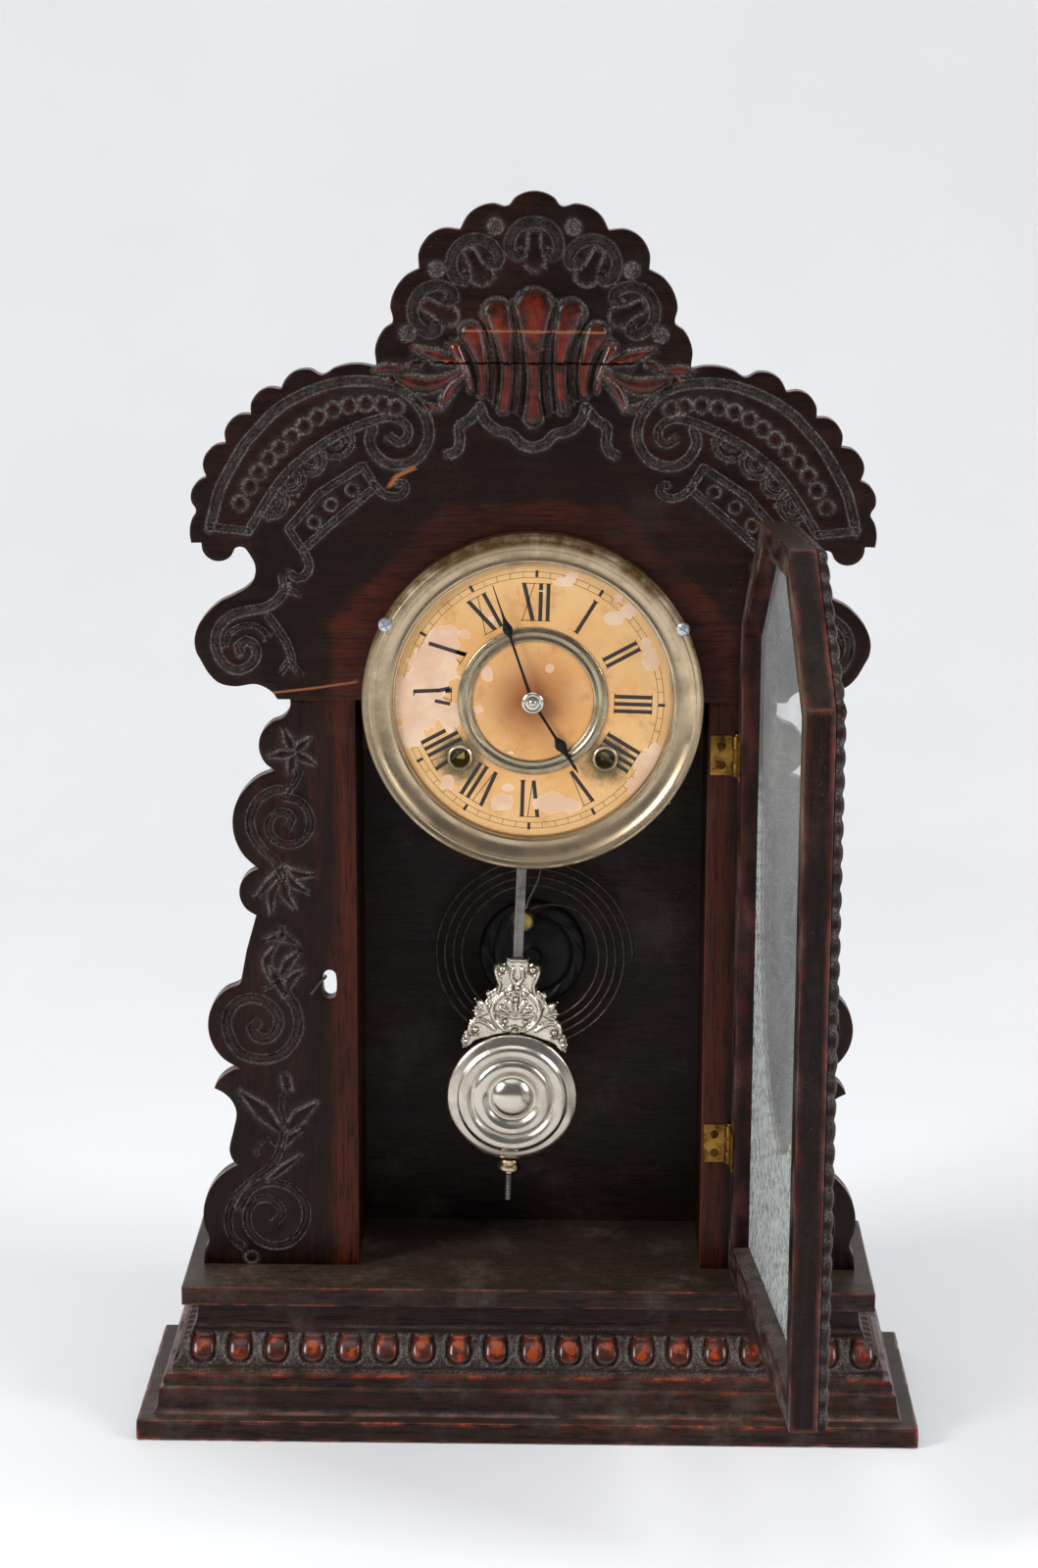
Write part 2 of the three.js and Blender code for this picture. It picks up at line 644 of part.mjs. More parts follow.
function dial() {
  const back = FLOOR_Y + PAN_SHEET;
  const pipeHole = PIPE_R + 1.6;
  const panProfile = [
    [pipeHole, FLOOR_Y], [PAPER_R + 0.2, FLOOR_Y], [PAPER_R + 0.7, -4.4], [PAPER_R + 3, -5.3],
    [PAN_R - 4.2, -6.6], [PAN_R - 2.1, RIM_Y], [PAN_R - 0.5, RIM_Y + 0.2], [PAN_R, RIM_Y + 1.2],
    [PAN_R, -GAP], [PAN_R - PAN_SHEET, -GAP], [PAN_R - PAN_SHEET, RIM_Y + 1.4], [PAN_R - 2.2, RIM_Y + 0.7],
    [PAN_R - 4.2, -6], [PAPER_R + 2.8, -4.7], [PAPER_R + 0.1, -3.9], [PAPER_R - 0.4, back],
    [pipeHole, back], [pipeHole, FLOOR_Y],
  ];
  const holes = [-1, 1].map((side) => rod(...windingPoint(side), GROMMET.outer + GAP, -4, 2, 16));
  const screwHoles = Object.values(DIAL_SCREWS).map(([x, z]) => rod(x, z, SCREW.shank + GAP, -9, 1));
  const pan = cut(turned(panProfile, DIAL_X, DIAL_Z, 40), ...holes, ...screwHoles);

  const paperFront = FLOOR_Y - PAPER_THICK;
  const sheet = slab(circle(DIAL_X, DIAL_Z, PAPER_R, 40), paperFront, FLOOR_Y, [
    circle(DIAL_X, DIAL_Z, pipeHole, 16),
    ...[-1, 1].map((side) => circle(...windingPoint(side), GROMMET.outer + GAP, 16)),
  ]);

  const middle = (RING.inner + RING.outer) / 2;
  const ringProfile = [
    [RING.inner, paperFront], [RING.inner + 0.8, paperFront - 0.9], [middle - 0.8, paperFront - 0.8],
    [middle + 0.4, paperFront - RING.height], [RING.outer - 0.8, paperFront - 1.1], [RING.outer, paperFront],
    [RING.inner, paperFront],
  ];

  const grommet = (side) => {
    const { flange, outer, inner, height, behind } = GROMMET;
    const end = back + behind;
    const profile = [
      [inner, end], [inner, paperFront - height], [flange - 0.5, paperFront - height],
      [flange, paperFront], [outer, paperFront], [outer, end], [inner, end],
    ];
    return turned(profile, ...windingPoint(side), 16);
  };

  const screw = ([x, z]) => {
    const seat = RIM_Y - GAP;
    const profile = [
      [0, SCREW.intoBoard], [SCREW.shank, SCREW.intoBoard], [SCREW.shank, seat], [SCREW.head, seat],
      [SCREW.head - 0.6, seat - SCREW.headHeight], [0, seat - SCREW.headHeight],
    ];
    return turned(profile, x, z, 12);
  };

  return [
    mesh('dial_pan', pan, nickel),
    mesh('dial_paper', sheet, paper),
    mesh('dial_centre_ring', turned(ringProfile, DIAL_X, DIAL_Z, 32), nickel),
    mesh('left_winding_grommet', grommet(-1), nickel),
    mesh('right_winding_grommet', grommet(1), nickel),
    mesh('left_dial_screw', screw(DIAL_SCREWS.left), steel),
    mesh('right_dial_screw', screw(DIAL_SCREWS.right), steel),
  ];
}

// ---------- hands ----------

// A spade hand drawn upright from the arbor at 0, 0 and turned clockwise by its angle.
function handBlade({ length, diamond, angle, y }, hub) {
  const half = [
    [hub * 0.35, hub * 0.9], [0.75, diamond - 7], [0.9, diamond - 4.5], [2.4, diamond - 0.5],
    [1.1, diamond + 3.5], [0.5, diamond + 7], [0.15, length],
  ];
  const outline = [...half, ...mirrored(half)];
  const blade = slab(outline, y, y + HAND_THICK);
  return blade.rotateY(THREE.MathUtils.degToRad(angle)).translate(DIAL_X, 0, DIAL_Z);
}

function hands() {
  const minuteHub = rod(DIAL_X, DIAL_Z, 3.4, MINUTE_HAND.y, MINUTE_HAND.y + HAND_THICK, 16);
  const minute = cut(
    join(minuteHub, handBlade(MINUTE_HAND, 3.4)),
    rod(DIAL_X, DIAL_Z, ARBOR_R + GAP, -9, 1),
  );
  const pipeBack = FRONT_PLATE - 3;
  const hourHub = rod(DIAL_X, DIAL_Z, 4, HOUR_HAND.y, HOUR_HAND.y + HAND_THICK, 16);
  const pipe = rod(DIAL_X, DIAL_Z, PIPE_R, HOUR_HAND.y, pipeBack, 12);
  const hour = cut(
    join(hourHub, pipe, handBlade(HOUR_HAND, 4)),
    rod(DIAL_X, DIAL_Z, ARBOR_R + GAP, -9, pipeBack + 1),
  );
  const nutProfile = [
    [NUT.hole, NUT.back], [NUT.r, NUT.back], [NUT.r - 0.4, NUT.front + 0.5], [NUT.r - 2, NUT.front],
    [NUT.hole, NUT.front], [NUT.hole, NUT.back],
  ];
  return [
    mesh('minute_hand', minute, blackIron),
    mesh('hour_hand', hour, blackIron),
    mesh('hand_nut', turned(nutProfile, DIAL_X, DIAL_Z, 16), steel),
  ];
}

// ---------- movement ----------

// Where two circles about a and b meet, on the left of the way from a to b.
function meshPoint([ax, az], ra, [bx, bz], rb) {
  const d = Math.hypot(bx - ax, bz - az);
  const along = (ra * ra - rb * rb + d * d) / (2 * d);
  const aside = Math.sqrt(ra * ra - along * along);
  const [ux, uz] = [(bx - ax) / d, (bz - az) / d];
  return [ax + along * ux - aside * uz, az + along * uz + aside * ux];
}

const pitchRadius = ({ teeth, module }) => (teeth * module) / 2;
const spacing = (wheel) => pitchRadius(wheel) + (PINION_LEAVES * wheel.module) / 2;

const centreArbor = [DIAL_X, DIAL_Z];
const timeArbor = windingPoint(1);
const strikeArbor = windingPoint(-1);
const secondArbor = meshPoint(centreArbor, spacing(TRAIN.second), timeArbor, spacing(TRAIN.great));
const escapeArbor = [DIAL_X, DIAL_Z + ESCAPE.above];
const thirdArbor = meshPoint(centreArbor, spacing(TRAIN.centre), escapeArbor, spacing(TRAIN.third));
const strikeSecondAngle = THREE.MathUtils.degToRad(STRIKE_SECOND_DEG);
const strikeSecondArbor = [
  strikeArbor[0] + spacing(TRAIN.great) * Math.cos(strikeSecondAngle),
  strikeArbor[1] + spacing(TRAIN.great) * Math.sin(strikeSecondAngle),
];
const direction = (from, to) => Math.atan2(to[1] - from[1], to[0] - from[0]);

// A tooth's depths in modules, and its half widths as shares of the pitch.
const TOOTH = { root: 1.05, tip: 0.7, rootHalf: 0.27, tipHalf: 0.11 };

// A toothed outline: a tooth stands at the phase angle.
function toothed([x, z], teeth, module, phase) {
  const r = (teeth * module) / 2;
  const root = r - TOOTH.root * module;
  const tip = r + TOOTH.tip * module;
  const flank = [[TOOTH.tipHalf, tip], [TOOTH.rootHalf, root]];
  const profile = [...mirrored(flank), ...flank];
  return Array.from({ length: teeth }, (_, i) => profile.map(([share, radius]) => {
    const angle = phase + ((i + share) * TAU) / teeth;
    return [x + radius * Math.cos(angle), z + radius * Math.sin(angle)];
  })).flat();
}

// A pinion whose gap faces the wheel that drives it, from one depth to another.
function pinion(at, driver, module, y) {
  const phase = direction(at, driver) + Math.PI / PINION_LEAVES;
  const outline = toothed(at, PINION_LEAVES, module, phase);
  return slab(outline, y - PINION_OVERHANG, y + WHEEL_THICK + PINION_OVERHANG);
}

function arbor([x, z], front = FRONT_PLATE + GAP) {
  const back = BACK_PLATE + PLATE_THICK - GAP;
  const inner = [FRONT_PLATE + PLATE_THICK + GAP, BACK_PLATE - GAP];
  return join(rod(x, z, ARBOR_R, ...inner), rod(x, z, PIVOT_R, front, back, 6));
}

function wheelDisc(at, { teeth, module, y }, phase) {
  return slab(toothed(at, teeth, module, phase), y, y + WHEEL_THICK);
}

function greatWheel(at, second) {
  const [x, z] = at;
  const disc = wheelDisc(at, TRAIN.great, direction(at, second));
  const barrel = rod(x, z, WINDING_R, FRONT_PLATE + PLATE_THICK + GAP, BACK_PLATE - GAP, 10);
  const square = rod(x, z, WINDING_R - 0.4, WINDING_FRONT, BACK_PLATE + PLATE_THICK - GAP, 4);
  const ratchet = rod(x, z, RATCHET.r, TRAIN.great.y - RATCHET.thick, TRAIN.great.y, 16);
  return join(disc, barrel, square, ratchet);
}

function mainspring([x, z]) {
  const steps = Math.round(SPRING.turns * 12);
  const inner = WINDING_R + GAP;
  const coil = (offset) => Array.from({ length: steps + 1 }, (_, i) => {
    const angle = (i / steps) * SPRING.turns * TAU;
    const radius = inner + (i / steps) * (SPRING.outer - inner - SPRING.strip) + offset;
    return [x + radius * Math.cos(angle), z + radius * Math.sin(angle)];
  });
  return slab([...coil(0), ...coil(SPRING.strip).reverse()], SPRING.front, SPRING.back);
}

function escapeWheel() {
  const [x, z] = escapeArbor;
  const root = ESCAPE.r - ESCAPE.tooth;
  const profile = [[0, ESCAPE.r], [0.25, root], [0.8, root]];
  const outline = Array.from({ length: ESCAPE.teeth }, (_, i) => profile.map(([share, radius]) => {
    const angle = ((i + share) * TAU) / ESCAPE.teeth;
    return [x + radius * Math.cos(angle), z + radius * Math.sin(angle)];
  })).flat();
  return join(
    slab(outline, ESCAPE.y, ESCAPE.y + ESCAPE.thick),
    pinion(escapeArbor, thirdArbor, TRAIN.third.module, TRAIN.third.y),
    arbor(escapeArbor),
  );
}

function plates() {
  const corner = (half, low, high) => [[-half, low], [half, low], [half, high], [-half, high]];
  const outline = corner(PLATE.half, PLATE.low, PLATE.high).map(([x, z]) => [x + DIAL_X, z + DIAL_Z]);
  const pillars = [PILLAR.low, PILLAR.high].flatMap((z) =>
    [-1, 1].map((side) => [DIAL_X + side * PILLAR.x, DIAL_Z + z]));
  const verge = [SUSPENSION.x, SUSPENSION.z];
  const pivots = [secondArbor, thirdArbor, escapeArbor, strikeSecondArbor, verge];
  const hole = (at, radius) => circle(...at, radius, 8);
  const hammer = [HAMMER.pivotX, HAMMER.pivotZ];
  const frontHoles = [
    ...pivots.map((at) => hole(at, PIVOT_R + GAP)),
    ...pillars.map((at) => hole(at, PILLAR.tenon + GAP)),
    hole(timeArbor, WINDING_R + GAP), hole(strikeArbor, WINDING_R + GAP),
    hole(centreArbor, ARBOR_R + GAP), hole(hammer, PIVOT_R + GAP),
  ];
  const backHoles = [
    ...[...pivots, centreArbor].map((at) => hole(at, PIVOT_R + GAP)),
    hole(timeArbor, WINDING_R + GAP), hole(strikeArbor, WINDING_R + GAP),
    hole(hammer, ARBOR_R + GAP),
  ];
  const front = slab(outline, FRONT_PLATE, FRONT_PLATE + PLATE_THICK, frontHoles);
  const back = slab(outline, BACK_PLATE, BACK_PLATE + PLATE_THICK, backHoles);
  const posts = pillars.flatMap((at) => [
    rod(...at, PILLAR.r, FRONT_PLATE + PLATE_THICK + GAP, BACK_PLATE + 0.5),
    rod(...at, PILLAR.tenon, FRONT_PLATE - 1.5, BACK_PLATE),
  ]);
  return [
    mesh('movement_front_plate', front, brass),
    mesh('movement_back_plate', join(back, ...posts), brass),
  ];
}

function train() {
  const second = join(
    wheelDisc(secondArbor, TRAIN.second, direction(secondArbor, centreArbor)),
    pinion(secondArbor, timeArbor, TRAIN.great.module, TRAIN.great.y),
    arbor(secondArbor),
  );
  const centre = join(
    wheelDisc(centreArbor, TRAIN.centre, direction(centreArbor, thirdArbor)),
    pinion(centreArbor, secondArbor, TRAIN.second.module, TRAIN.second.y),
    arbor(centreArbor),
    rod(...centreArbor, ARBOR_R, NUT.front - 0.6, FRONT_PLATE + 4),
  );
  const third = join(
    wheelDisc(thirdArbor, TRAIN.third, direction(thirdArbor, escapeArbor)),
    pinion(thirdArbor, centreArbor, TRAIN.centre.module, TRAIN.centre.y),
    arbor(thirdArbor),
  );
  const strikeSecond = join(
    wheelDisc(strikeSecondArbor, TRAIN.second, 0),
    pinion(strikeSecondArbor, strikeArbor, TRAIN.great.module, TRAIN.great.y),
    arbor(strikeSecondArbor),
  );
  return [
    mesh('time_great_wheel', greatWheel(timeArbor, secondArbor), brass),
    mesh('strike_great_wheel', greatWheel(strikeArbor, strikeSecondArbor), brass),
    mesh('time_mainspring', mainspring(timeArbor), steel),
    mesh('strike_mainspring', mainspring(strikeArbor), steel),
    mesh('time_second_wheel', second, brass),
    mesh('strike_second_wheel', strikeSecond, brass),
    mesh('centre_wheel', centre, brass),
    mesh('third_wheel', third, brass),
    mesh('escape_wheel', escapeWheel(), brass),
  ];
}

// ---------- pendulum and verge: children of a group that hangs from the suspension ----------

const SUSPENSION_SPRING = { half: 2, thick: 0.4, top: 3, bottom: 12 };
const CRUTCH = { y: FRONT_PLATE - 1.5, reach: 22, fork: 10.4 };

function verge() {
  const y = (depth) => depth - SUSPENSION.y;
  const rise = SUSPENSION.z - escapeArbor[1];
  const strip = [50, 70, 90, 110, 130].map((deg) => THREE.MathUtils.degToRad(deg));
  const at = (radius) => (angle) => [radius * Math.cos(angle), radius * Math.sin(angle) - rise];
  const anchor = [...strip.map(at(rise + 0.8)), ...strip.map(at(rise - 1)).reverse()];
  const pallets = slab(anchor, y(ESCAPE.y - 0.5), y(ESCAPE.y + ESCAPE.thick + 0.5));
  const shaft = join(
    rod(0, 0, PIVOT_R, y(CRUTCH.y - 0.6), y(BACK_PLATE + PLATE_THICK - GAP), 6),
    rod(0, 0, ARBOR_R, y(FRONT_PLATE + PLATE_THICK + GAP), y(BACK_PLATE - GAP)),
  );
  const hanger = box(-0.6, 0.6, y(CRUTCH.y - 0.6), y(CRUTCH.y + 0.6), -CRUTCH.reach - 1, 0);
  const inner = ROD.half + GAP;
  const fork = [
    box(-inner - 1, inner + 1, y(CRUTCH.y - 0.6), y(CRUTCH.y + 0.6), -CRUTCH.reach - 1, -CRUTCH.reach + 1),
    box(inner, inner + 1, y(CRUTCH.fork), y(CRUTCH.y), -CRUTCH.reach - 1, -CRUTCH.reach + 1),
    box(-inner - 1, -inner, y(CRUTCH.fork), y(CRUTCH.y), -CRUTCH.reach - 1, -CRUTCH.reach + 1),
  ];
  return join(shaft, pallets, hanger, ...fork);
}

function pendulumRod() {
  const { half, thick, end, stem, stemEnd } = ROD;
  const { centre, outer, length } = ROD_LOOP;
  const side = [
    [half, -SUSPENSION_SPRING.bottom + 4], [half, -centre + length + 5], [outer, -centre + length],
    [outer, -centre - length], [half, -centre - length - 5], [half, -end],
  ];
  const inner = ROD_LOOP.half;
  const window = [
    [inner, -centre + length - 2], [inner, -centre - length + 2], [0, -centre - length - 2],
    [-inner, -centre - length + 2], [-inner, -centre + length - 2], [0, -centre + length + 2],
  ];
  const strip = slab([...side, ...mirrored(side)], -thick / 2, thick / 2, [window]);
  const { half: springHalf, thick: springThick, top, bottom } = SUSPENSION_SPRING;
  const ribbon = box(-springThick / 2, springThick / 2, -springHalf, springHalf, -bottom, top);
  const thread = new THREE.CylinderGeometry(stem, stem, stemEnd - end + 4, 8)
    .rotateX(Math.PI / 2)
    .translate(0, 0, -(stemEnd + end - 4) / 2);
  return join(strip, ribbon, thread);
}

const BOB_REACH = BOB.r + 0.7; // the ornament's feet follow the bob's rim

function ornament() {
  const foot = ORNAMENT_FEET.map((x) => [x, -(BOB.at - Math.sqrt(BOB_REACH ** 2 - x ** 2))]);
  const half = [...ORNAMENT_HALF, ...foot];
  const front = -ROD.thick / 2 - GAP - ORNAMENT_THICK;
  return slab([...half, ...mirrored(half)], front, front + ORNAMENT_THICK);
}

function bob() {
  const y = (depth) => depth - SUSPENSION.y;
  const profile = [
    [0, BOB.front], [4, 5], [8, 6.6], [10, 8.2], [12, 8], [17, 6.8], [19, 7], [20, 8.2], [24, 7.6],
    [26, 8], [BOB.r - 0.5, 9.6], [BOB.r, 10.6], [BOB.r - 0.3, 12], [26, BOB.back - 0.1], [0, BOB.back],
  ].map(([radius, depth]) => [radius, y(depth)]);
  const channel = ROD.half + 0.65;
  const groove = box(-channel, channel, -ROD.stem - GAP, 5, -BOB.at - BOB_REACH, -BOB.at + BOB_REACH);
  return cut(turned(profile, 0, -BOB.at, 32), groove);
}

function ratingNut() {
  const top = -BOB.at - BOB.r - RATING_NUT.below;
  const hole = ROD.stem + GAP;
  const shape = new THREE.Shape(toPath(circle(0, 0, RATING_NUT.r, 16)));
  shape.holes.push(new THREE.Path(toPath(circle(0, 0, hole, 10))));
  return new THREE.ExtrudeGeometry(shape, { depth: RATING_NUT.height, bevelEnabled: false })
    .translate(0, 0, top - RATING_NUT.height);
}

function pendulum() {
  const group = new THREE.Group();
  group.position.copy(SUSPENSION);
  group.rotation.y = THREE.MathUtils.degToRad(PENDULUM_TILT_DEG);
  group.add(
    mesh('verge_crutch', verge(), steel),
    mesh('pendulum_rod', pendulumRod(), steel),
    mesh('pendulum_ornament', ornament(), nickel),
    mesh('pendulum_bob', bob(), nickel),
    mesh('rating_nut', ratingNut(), brass),
  );
  return group;
}

function suspensionPost() {
  const { x, z } = SUSPENSION;
  const height = z + SUSPENSION_SPRING.top + 1.6;
  const front = SUSPENSION.y - SUSPENSION_SPRING.half - 0.5;
  const stud = rod(x, height, 3, front, FRONT_PLATE, 12);
  const slit = box(x - 0.6, x + 0.6, front - 1, FRONT_PLATE - 3, z - 5, height);
  return mesh('suspension_post', cut(stud, slit), brass);
}

// ---------- striking ----------

function hammer() {
  const { pivotX, pivotZ, y, ballX, ballZ, ballR, ballEdge, ballHalf } = HAMMER;
  const arborRod = rod(pivotX, pivotZ, ARBOR_R, FRONT_PLATE + PLATE_THICK + GAP, y + 1);
  const pivot = rod(pivotX, pivotZ, PIVOT_R, FRONT_PLATE + GAP, FRONT_PLATE + 4, 6);
  const bends = HAMMER.stalk.map(([x, z]) => [x, y, z]);
  const stalk = wire([[pivotX, y, pivotZ], ...bends, [ballX, y, ballZ]], HAMMER.stalkR, 14);
  const chamfer = ballR - (ballHalf - ballEdge);
  const side = [[0, ballHalf], [chamfer, ballHalf], [ballR, ballEdge]];
  const edge = [...side.map(([r, depth]) => [r, -depth]), ...side.reverse()];
  const ball = turned(edge.map(([r, depth]) => [r, y + depth]), ballX, ballZ, 16);
  return mesh('hammer', join(arborRod, pivot, stalk, ball), brass);
}

function gong() {
  const { x, z, baseR, domeR, postR, coilY, wire: wireR } = GONG;
  const wall = CASE_BACK - BACK_BOARD;
  const profile = [
    [0, wall], [baseR, wall], [baseR, wall - 2.6], [baseR - 1.5, wall - 4], [domeR + 1.5, wall - 4.2],
    [domeR, wall - 5.2], [domeR - 4, wall - 6], [postR, wall - 6], [postR, coilY - 2], [0, coilY - 2],
  ];
  const perTurn = 16;
  const steps = Math.round(COIL.turns * perTurn);
  const points = Array.from({ length: steps + 1 }, (_, i) => {
    const angle = (i / perTurn) * TAU;
    const radius = COIL.outer - ((COIL.outer - COIL.inner) * i) / steps;
    return [x + radius * Math.cos(angle), coilY, z + radius * Math.sin(angle)];
  });
  const lead = [24, 16, postR + GAP].map((radius, i) => {
    const angle = ((steps + (i + 1) * 1.8) / perTurn) * TAU;
    return [x + radius * Math.cos(angle), coilY, z + radius * Math.sin(angle)];
  });
  const coil = wire([...points, ...lead], wireR, points.length + 6);
  return [
    mesh('gong_base', turned(profile, x, z, 32), blackIron),
    mesh('gong_coil', coil, steel),
  ];
}

// ---------- the clock ----------

const clock = new THREE.Group();
clock.name = 'shelf_clock';
clock.add(
  baseSlab(), ...baseMouldings(), platformBoard(), ...caseBoards(), ...frontBoards(), latchKeeper(),
  door(), ...hinges(), ...dial(), ...hands(), ...plates(), ...train(), suspensionPost(), pendulum(),
  hammer(), ...gong(),
);

export default clock;
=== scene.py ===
"""The looks of a pressed-wood shelf clock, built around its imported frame.

Shapes are worked out in millimetres, X to the right, Y into the depth, Z up, and become metres as each
piece is made. The carving of the front boards is drawn in heights above a line RISE above the floor.
"""

import json
import math

import bmesh
import bpy
import numpy as np
from mathutils import Matrix, Vector, noise
from mathutils.geometry import delaunay_2d_cdt

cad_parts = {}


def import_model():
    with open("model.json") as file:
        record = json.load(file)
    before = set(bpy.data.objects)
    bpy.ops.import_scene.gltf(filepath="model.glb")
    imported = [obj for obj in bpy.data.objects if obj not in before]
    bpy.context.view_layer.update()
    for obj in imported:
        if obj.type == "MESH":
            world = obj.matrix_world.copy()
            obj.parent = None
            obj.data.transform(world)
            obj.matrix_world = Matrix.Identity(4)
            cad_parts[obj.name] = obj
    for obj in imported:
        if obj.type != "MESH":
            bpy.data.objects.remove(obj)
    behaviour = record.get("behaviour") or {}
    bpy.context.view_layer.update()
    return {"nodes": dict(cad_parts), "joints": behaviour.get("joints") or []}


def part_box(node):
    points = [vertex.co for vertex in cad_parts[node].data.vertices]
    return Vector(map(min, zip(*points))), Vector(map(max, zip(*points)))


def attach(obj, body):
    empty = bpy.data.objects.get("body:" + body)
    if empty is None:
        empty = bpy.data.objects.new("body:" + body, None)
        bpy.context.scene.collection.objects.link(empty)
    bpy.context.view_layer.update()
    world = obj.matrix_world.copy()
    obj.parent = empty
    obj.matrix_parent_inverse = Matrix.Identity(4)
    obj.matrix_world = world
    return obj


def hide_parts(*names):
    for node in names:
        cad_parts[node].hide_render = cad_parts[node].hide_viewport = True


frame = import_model()
SCENE = bpy.context.scene
MM = 0.001
TAU = 2 * math.pi


def corner_boxes(node):
    """The node's box in millimetres, as (lowest, highest)."""
    low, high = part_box(node)
    return np.array(low) / MM, np.array(high) / MM


# ---------- sizes taken from the frame ----------

JOINTS = {joint["name"]: joint for joint in frame["joints"]}
DIAL = np.array(JOINTS["minute_hand_turn"]["pos_m"]) / MM
HINGE = np.array(JOINTS["door_hinge"]["pos_m"]) / MM
PIVOT = np.array(JOINTS["pendulum_swing"]["pos_m"]) / MM
DOOR_OPEN = -math.radians(JOINTS["door_hinge"]["range_deg"][0])
ROD_AXIS = np.array(JOINTS["bob_slide"]["axis"])
TILT = math.asin(-ROD_AXIS[0])
WINDING_X, WINDING_Z = 32.7, -26.3  # the winding holes from the dial's centre
RISE = 4.3  # the carving's drawing starts this far above the floor
DOOR_LENGTH, HINGE_GAP = 185.4, 2.4  # the latch edge and the hinge edge from the hinge axis
DOOR_LOW = 68.4  # the door's lower edge above the floor
SHOULDER, CORNER = 373.0, 55.3  # where the door's upper corners are cut off, and by how much

# ---------- camera, floor and light ----------

CAMERA_AT = (0.017558, -1.481735, 0.645149)
CAMERA_YAW = -0.0156048
CAMERA_PITCH = -0.2293618
CAMERA_ROLL = 0.0045367
CAMERA_LENS = 77.336
CAMERA_SENSOR = 36


def camera():
    data = bpy.data.cameras.new("camera")
    data.sensor_width = CAMERA_SENSOR
    data.lens = CAMERA_LENS
    data.clip_start = 0.05
    data.clip_end = 50
    obj = bpy.data.objects.new("camera", data)
    SCENE.collection.objects.link(obj)
    forward = Vector((
        math.sin(CAMERA_YAW) * math.cos(CAMERA_PITCH),
        math.cos(CAMERA_YAW) * math.cos(CAMERA_PITCH),
        math.sin(CAMERA_PITCH),
    ))
    level = Vector((math.cos(CAMERA_YAW), -math.sin(CAMERA_YAW), 0))
    upright = level.cross(forward)
    right = math.cos(CAMERA_ROLL) * level + math.sin(CAMERA_ROLL) * upright
    up = math.cos(CAMERA_ROLL) * upright - math.sin(CAMERA_ROLL) * level
    obj.matrix_world = Matrix((
        (right.x, up.x, -forward.x, CAMERA_AT[0]),
        (right.y, up.y, -forward.y, CAMERA_AT[1]),
        (right.z, up.z, -forward.z, CAMERA_AT[2]),
        (0, 0, 0, 1),
    ))
    SCENE.camera = obj


camera()


# ---------- material graphs ----------

class Graph:
    """A material's nodes around one Principled shader."""

    def __init__(self, name):
        self.material = bpy.data.materials.new(name)
        self.material.use_nodes = True
        self.tree = self.material.node_tree
        self.shader = self.tree.nodes["Principled BSDF"]
        self.coords = self.node("TexCoord").outputs["Object"]

    def link(self, value, socket):
        if isinstance(value, bpy.types.NodeSocket):
            self.tree.links.new(value, socket)
        else:
            socket.default_value = value

    def fill(self, node, values):
        """Sets or links the node's sockets, each named in small letters."""
        for key, value in values.items():
            self.link(value, node.inputs[key.replace("_", " ").title()])

    def node(self, kind, **values):
        node = self.tree.nodes.new("ShaderNode" + kind)
        self.fill(node, values)
        return node

    def set(self, **values):
        self.fill(self.shader, values)

    def specular(self, level):
        self.link(level, self.shader.inputs["Specular IOR Level"])

    def mapped(self, scale):
        return self.node("Mapping", vector=self.coords, scale=scale).outputs["Vector"]

    def noise(self, vector, scale, detail=3.0, rough=0.55, distortion=0.0):
        node = self.node("TexNoise", vector=vector, scale=scale, detail=detail, roughness=rough)
        node.inputs["Distortion"].default_value = distortion
        return node.outputs["Fac"]

    def attribute(self, name):
        node = self.node("Attribute")
        node.attribute_name = name
        return node.outputs["Fac"]

    def separate(self, vector):
        return self.node("SeparateXYZ", vector=vector).outputs

    def math(self, operation, a, b=0.0, clamp=False):
        node = self.node("Math")
        node.operation = operation
        node.use_clamp = clamp
        self.link(a, node.inputs[0])
        self.link(b, node.inputs[1])
        return node.outputs[0]

    def times(self, a, b, clamp=False):
        return self.math("MULTIPLY", a, b, clamp)

    def plus(self, a, b, clamp=False):
        return self.math("ADD", a, b, clamp)

    def larger(self, a, b, clamp=False):
        return self.math("MAXIMUM", a, b, clamp)

    def squares(self, a, b):
        """The sum of two squares."""
        return self.plus(self.times(a, a), self.times(b, b))

    def ramp(self, value, low, high, start=0.0, end=1.0):
        """The value from low to high as start to end, smoothly and clamped."""
        node = self.node("MapRange", value=value, from_min=low, from_max=high, to_min=start, to_max=end)
        node.interpolation_type = "SMOOTHSTEP"
        return node.outputs["Result"]

    def mix(self, share, a, b):
        node = self.node("Mix")
        node.data_type = "RGBA"
        self.link(share, node.inputs[0])
        self.link(colour(a), node.inputs[6])
        self.link(colour(b), node.inputs[7])
        return node.outputs[2]

    def bump(self, height, strength, distance):
        return self.node("Bump", height=height, strength=strength, distance=distance).outputs["Normal"]


def colour(value):
    """A colour as four linear numbers; a socket stays as it is."""
    if isinstance(value, bpy.types.NodeSocket):
        return value
    return (*value[:3], 1.0)


def srgb(r, g, b):
    """A colour given as it shows on a screen, 0 to 255, in linear numbers."""
    def linear(c):
        c /= 255
        return c / 12.92 if c <= 0.04045 else ((c + 0.055) / 1.055) ** 2.4
    return (linear(r), linear(g), linear(b))


# ---------- materials ----------

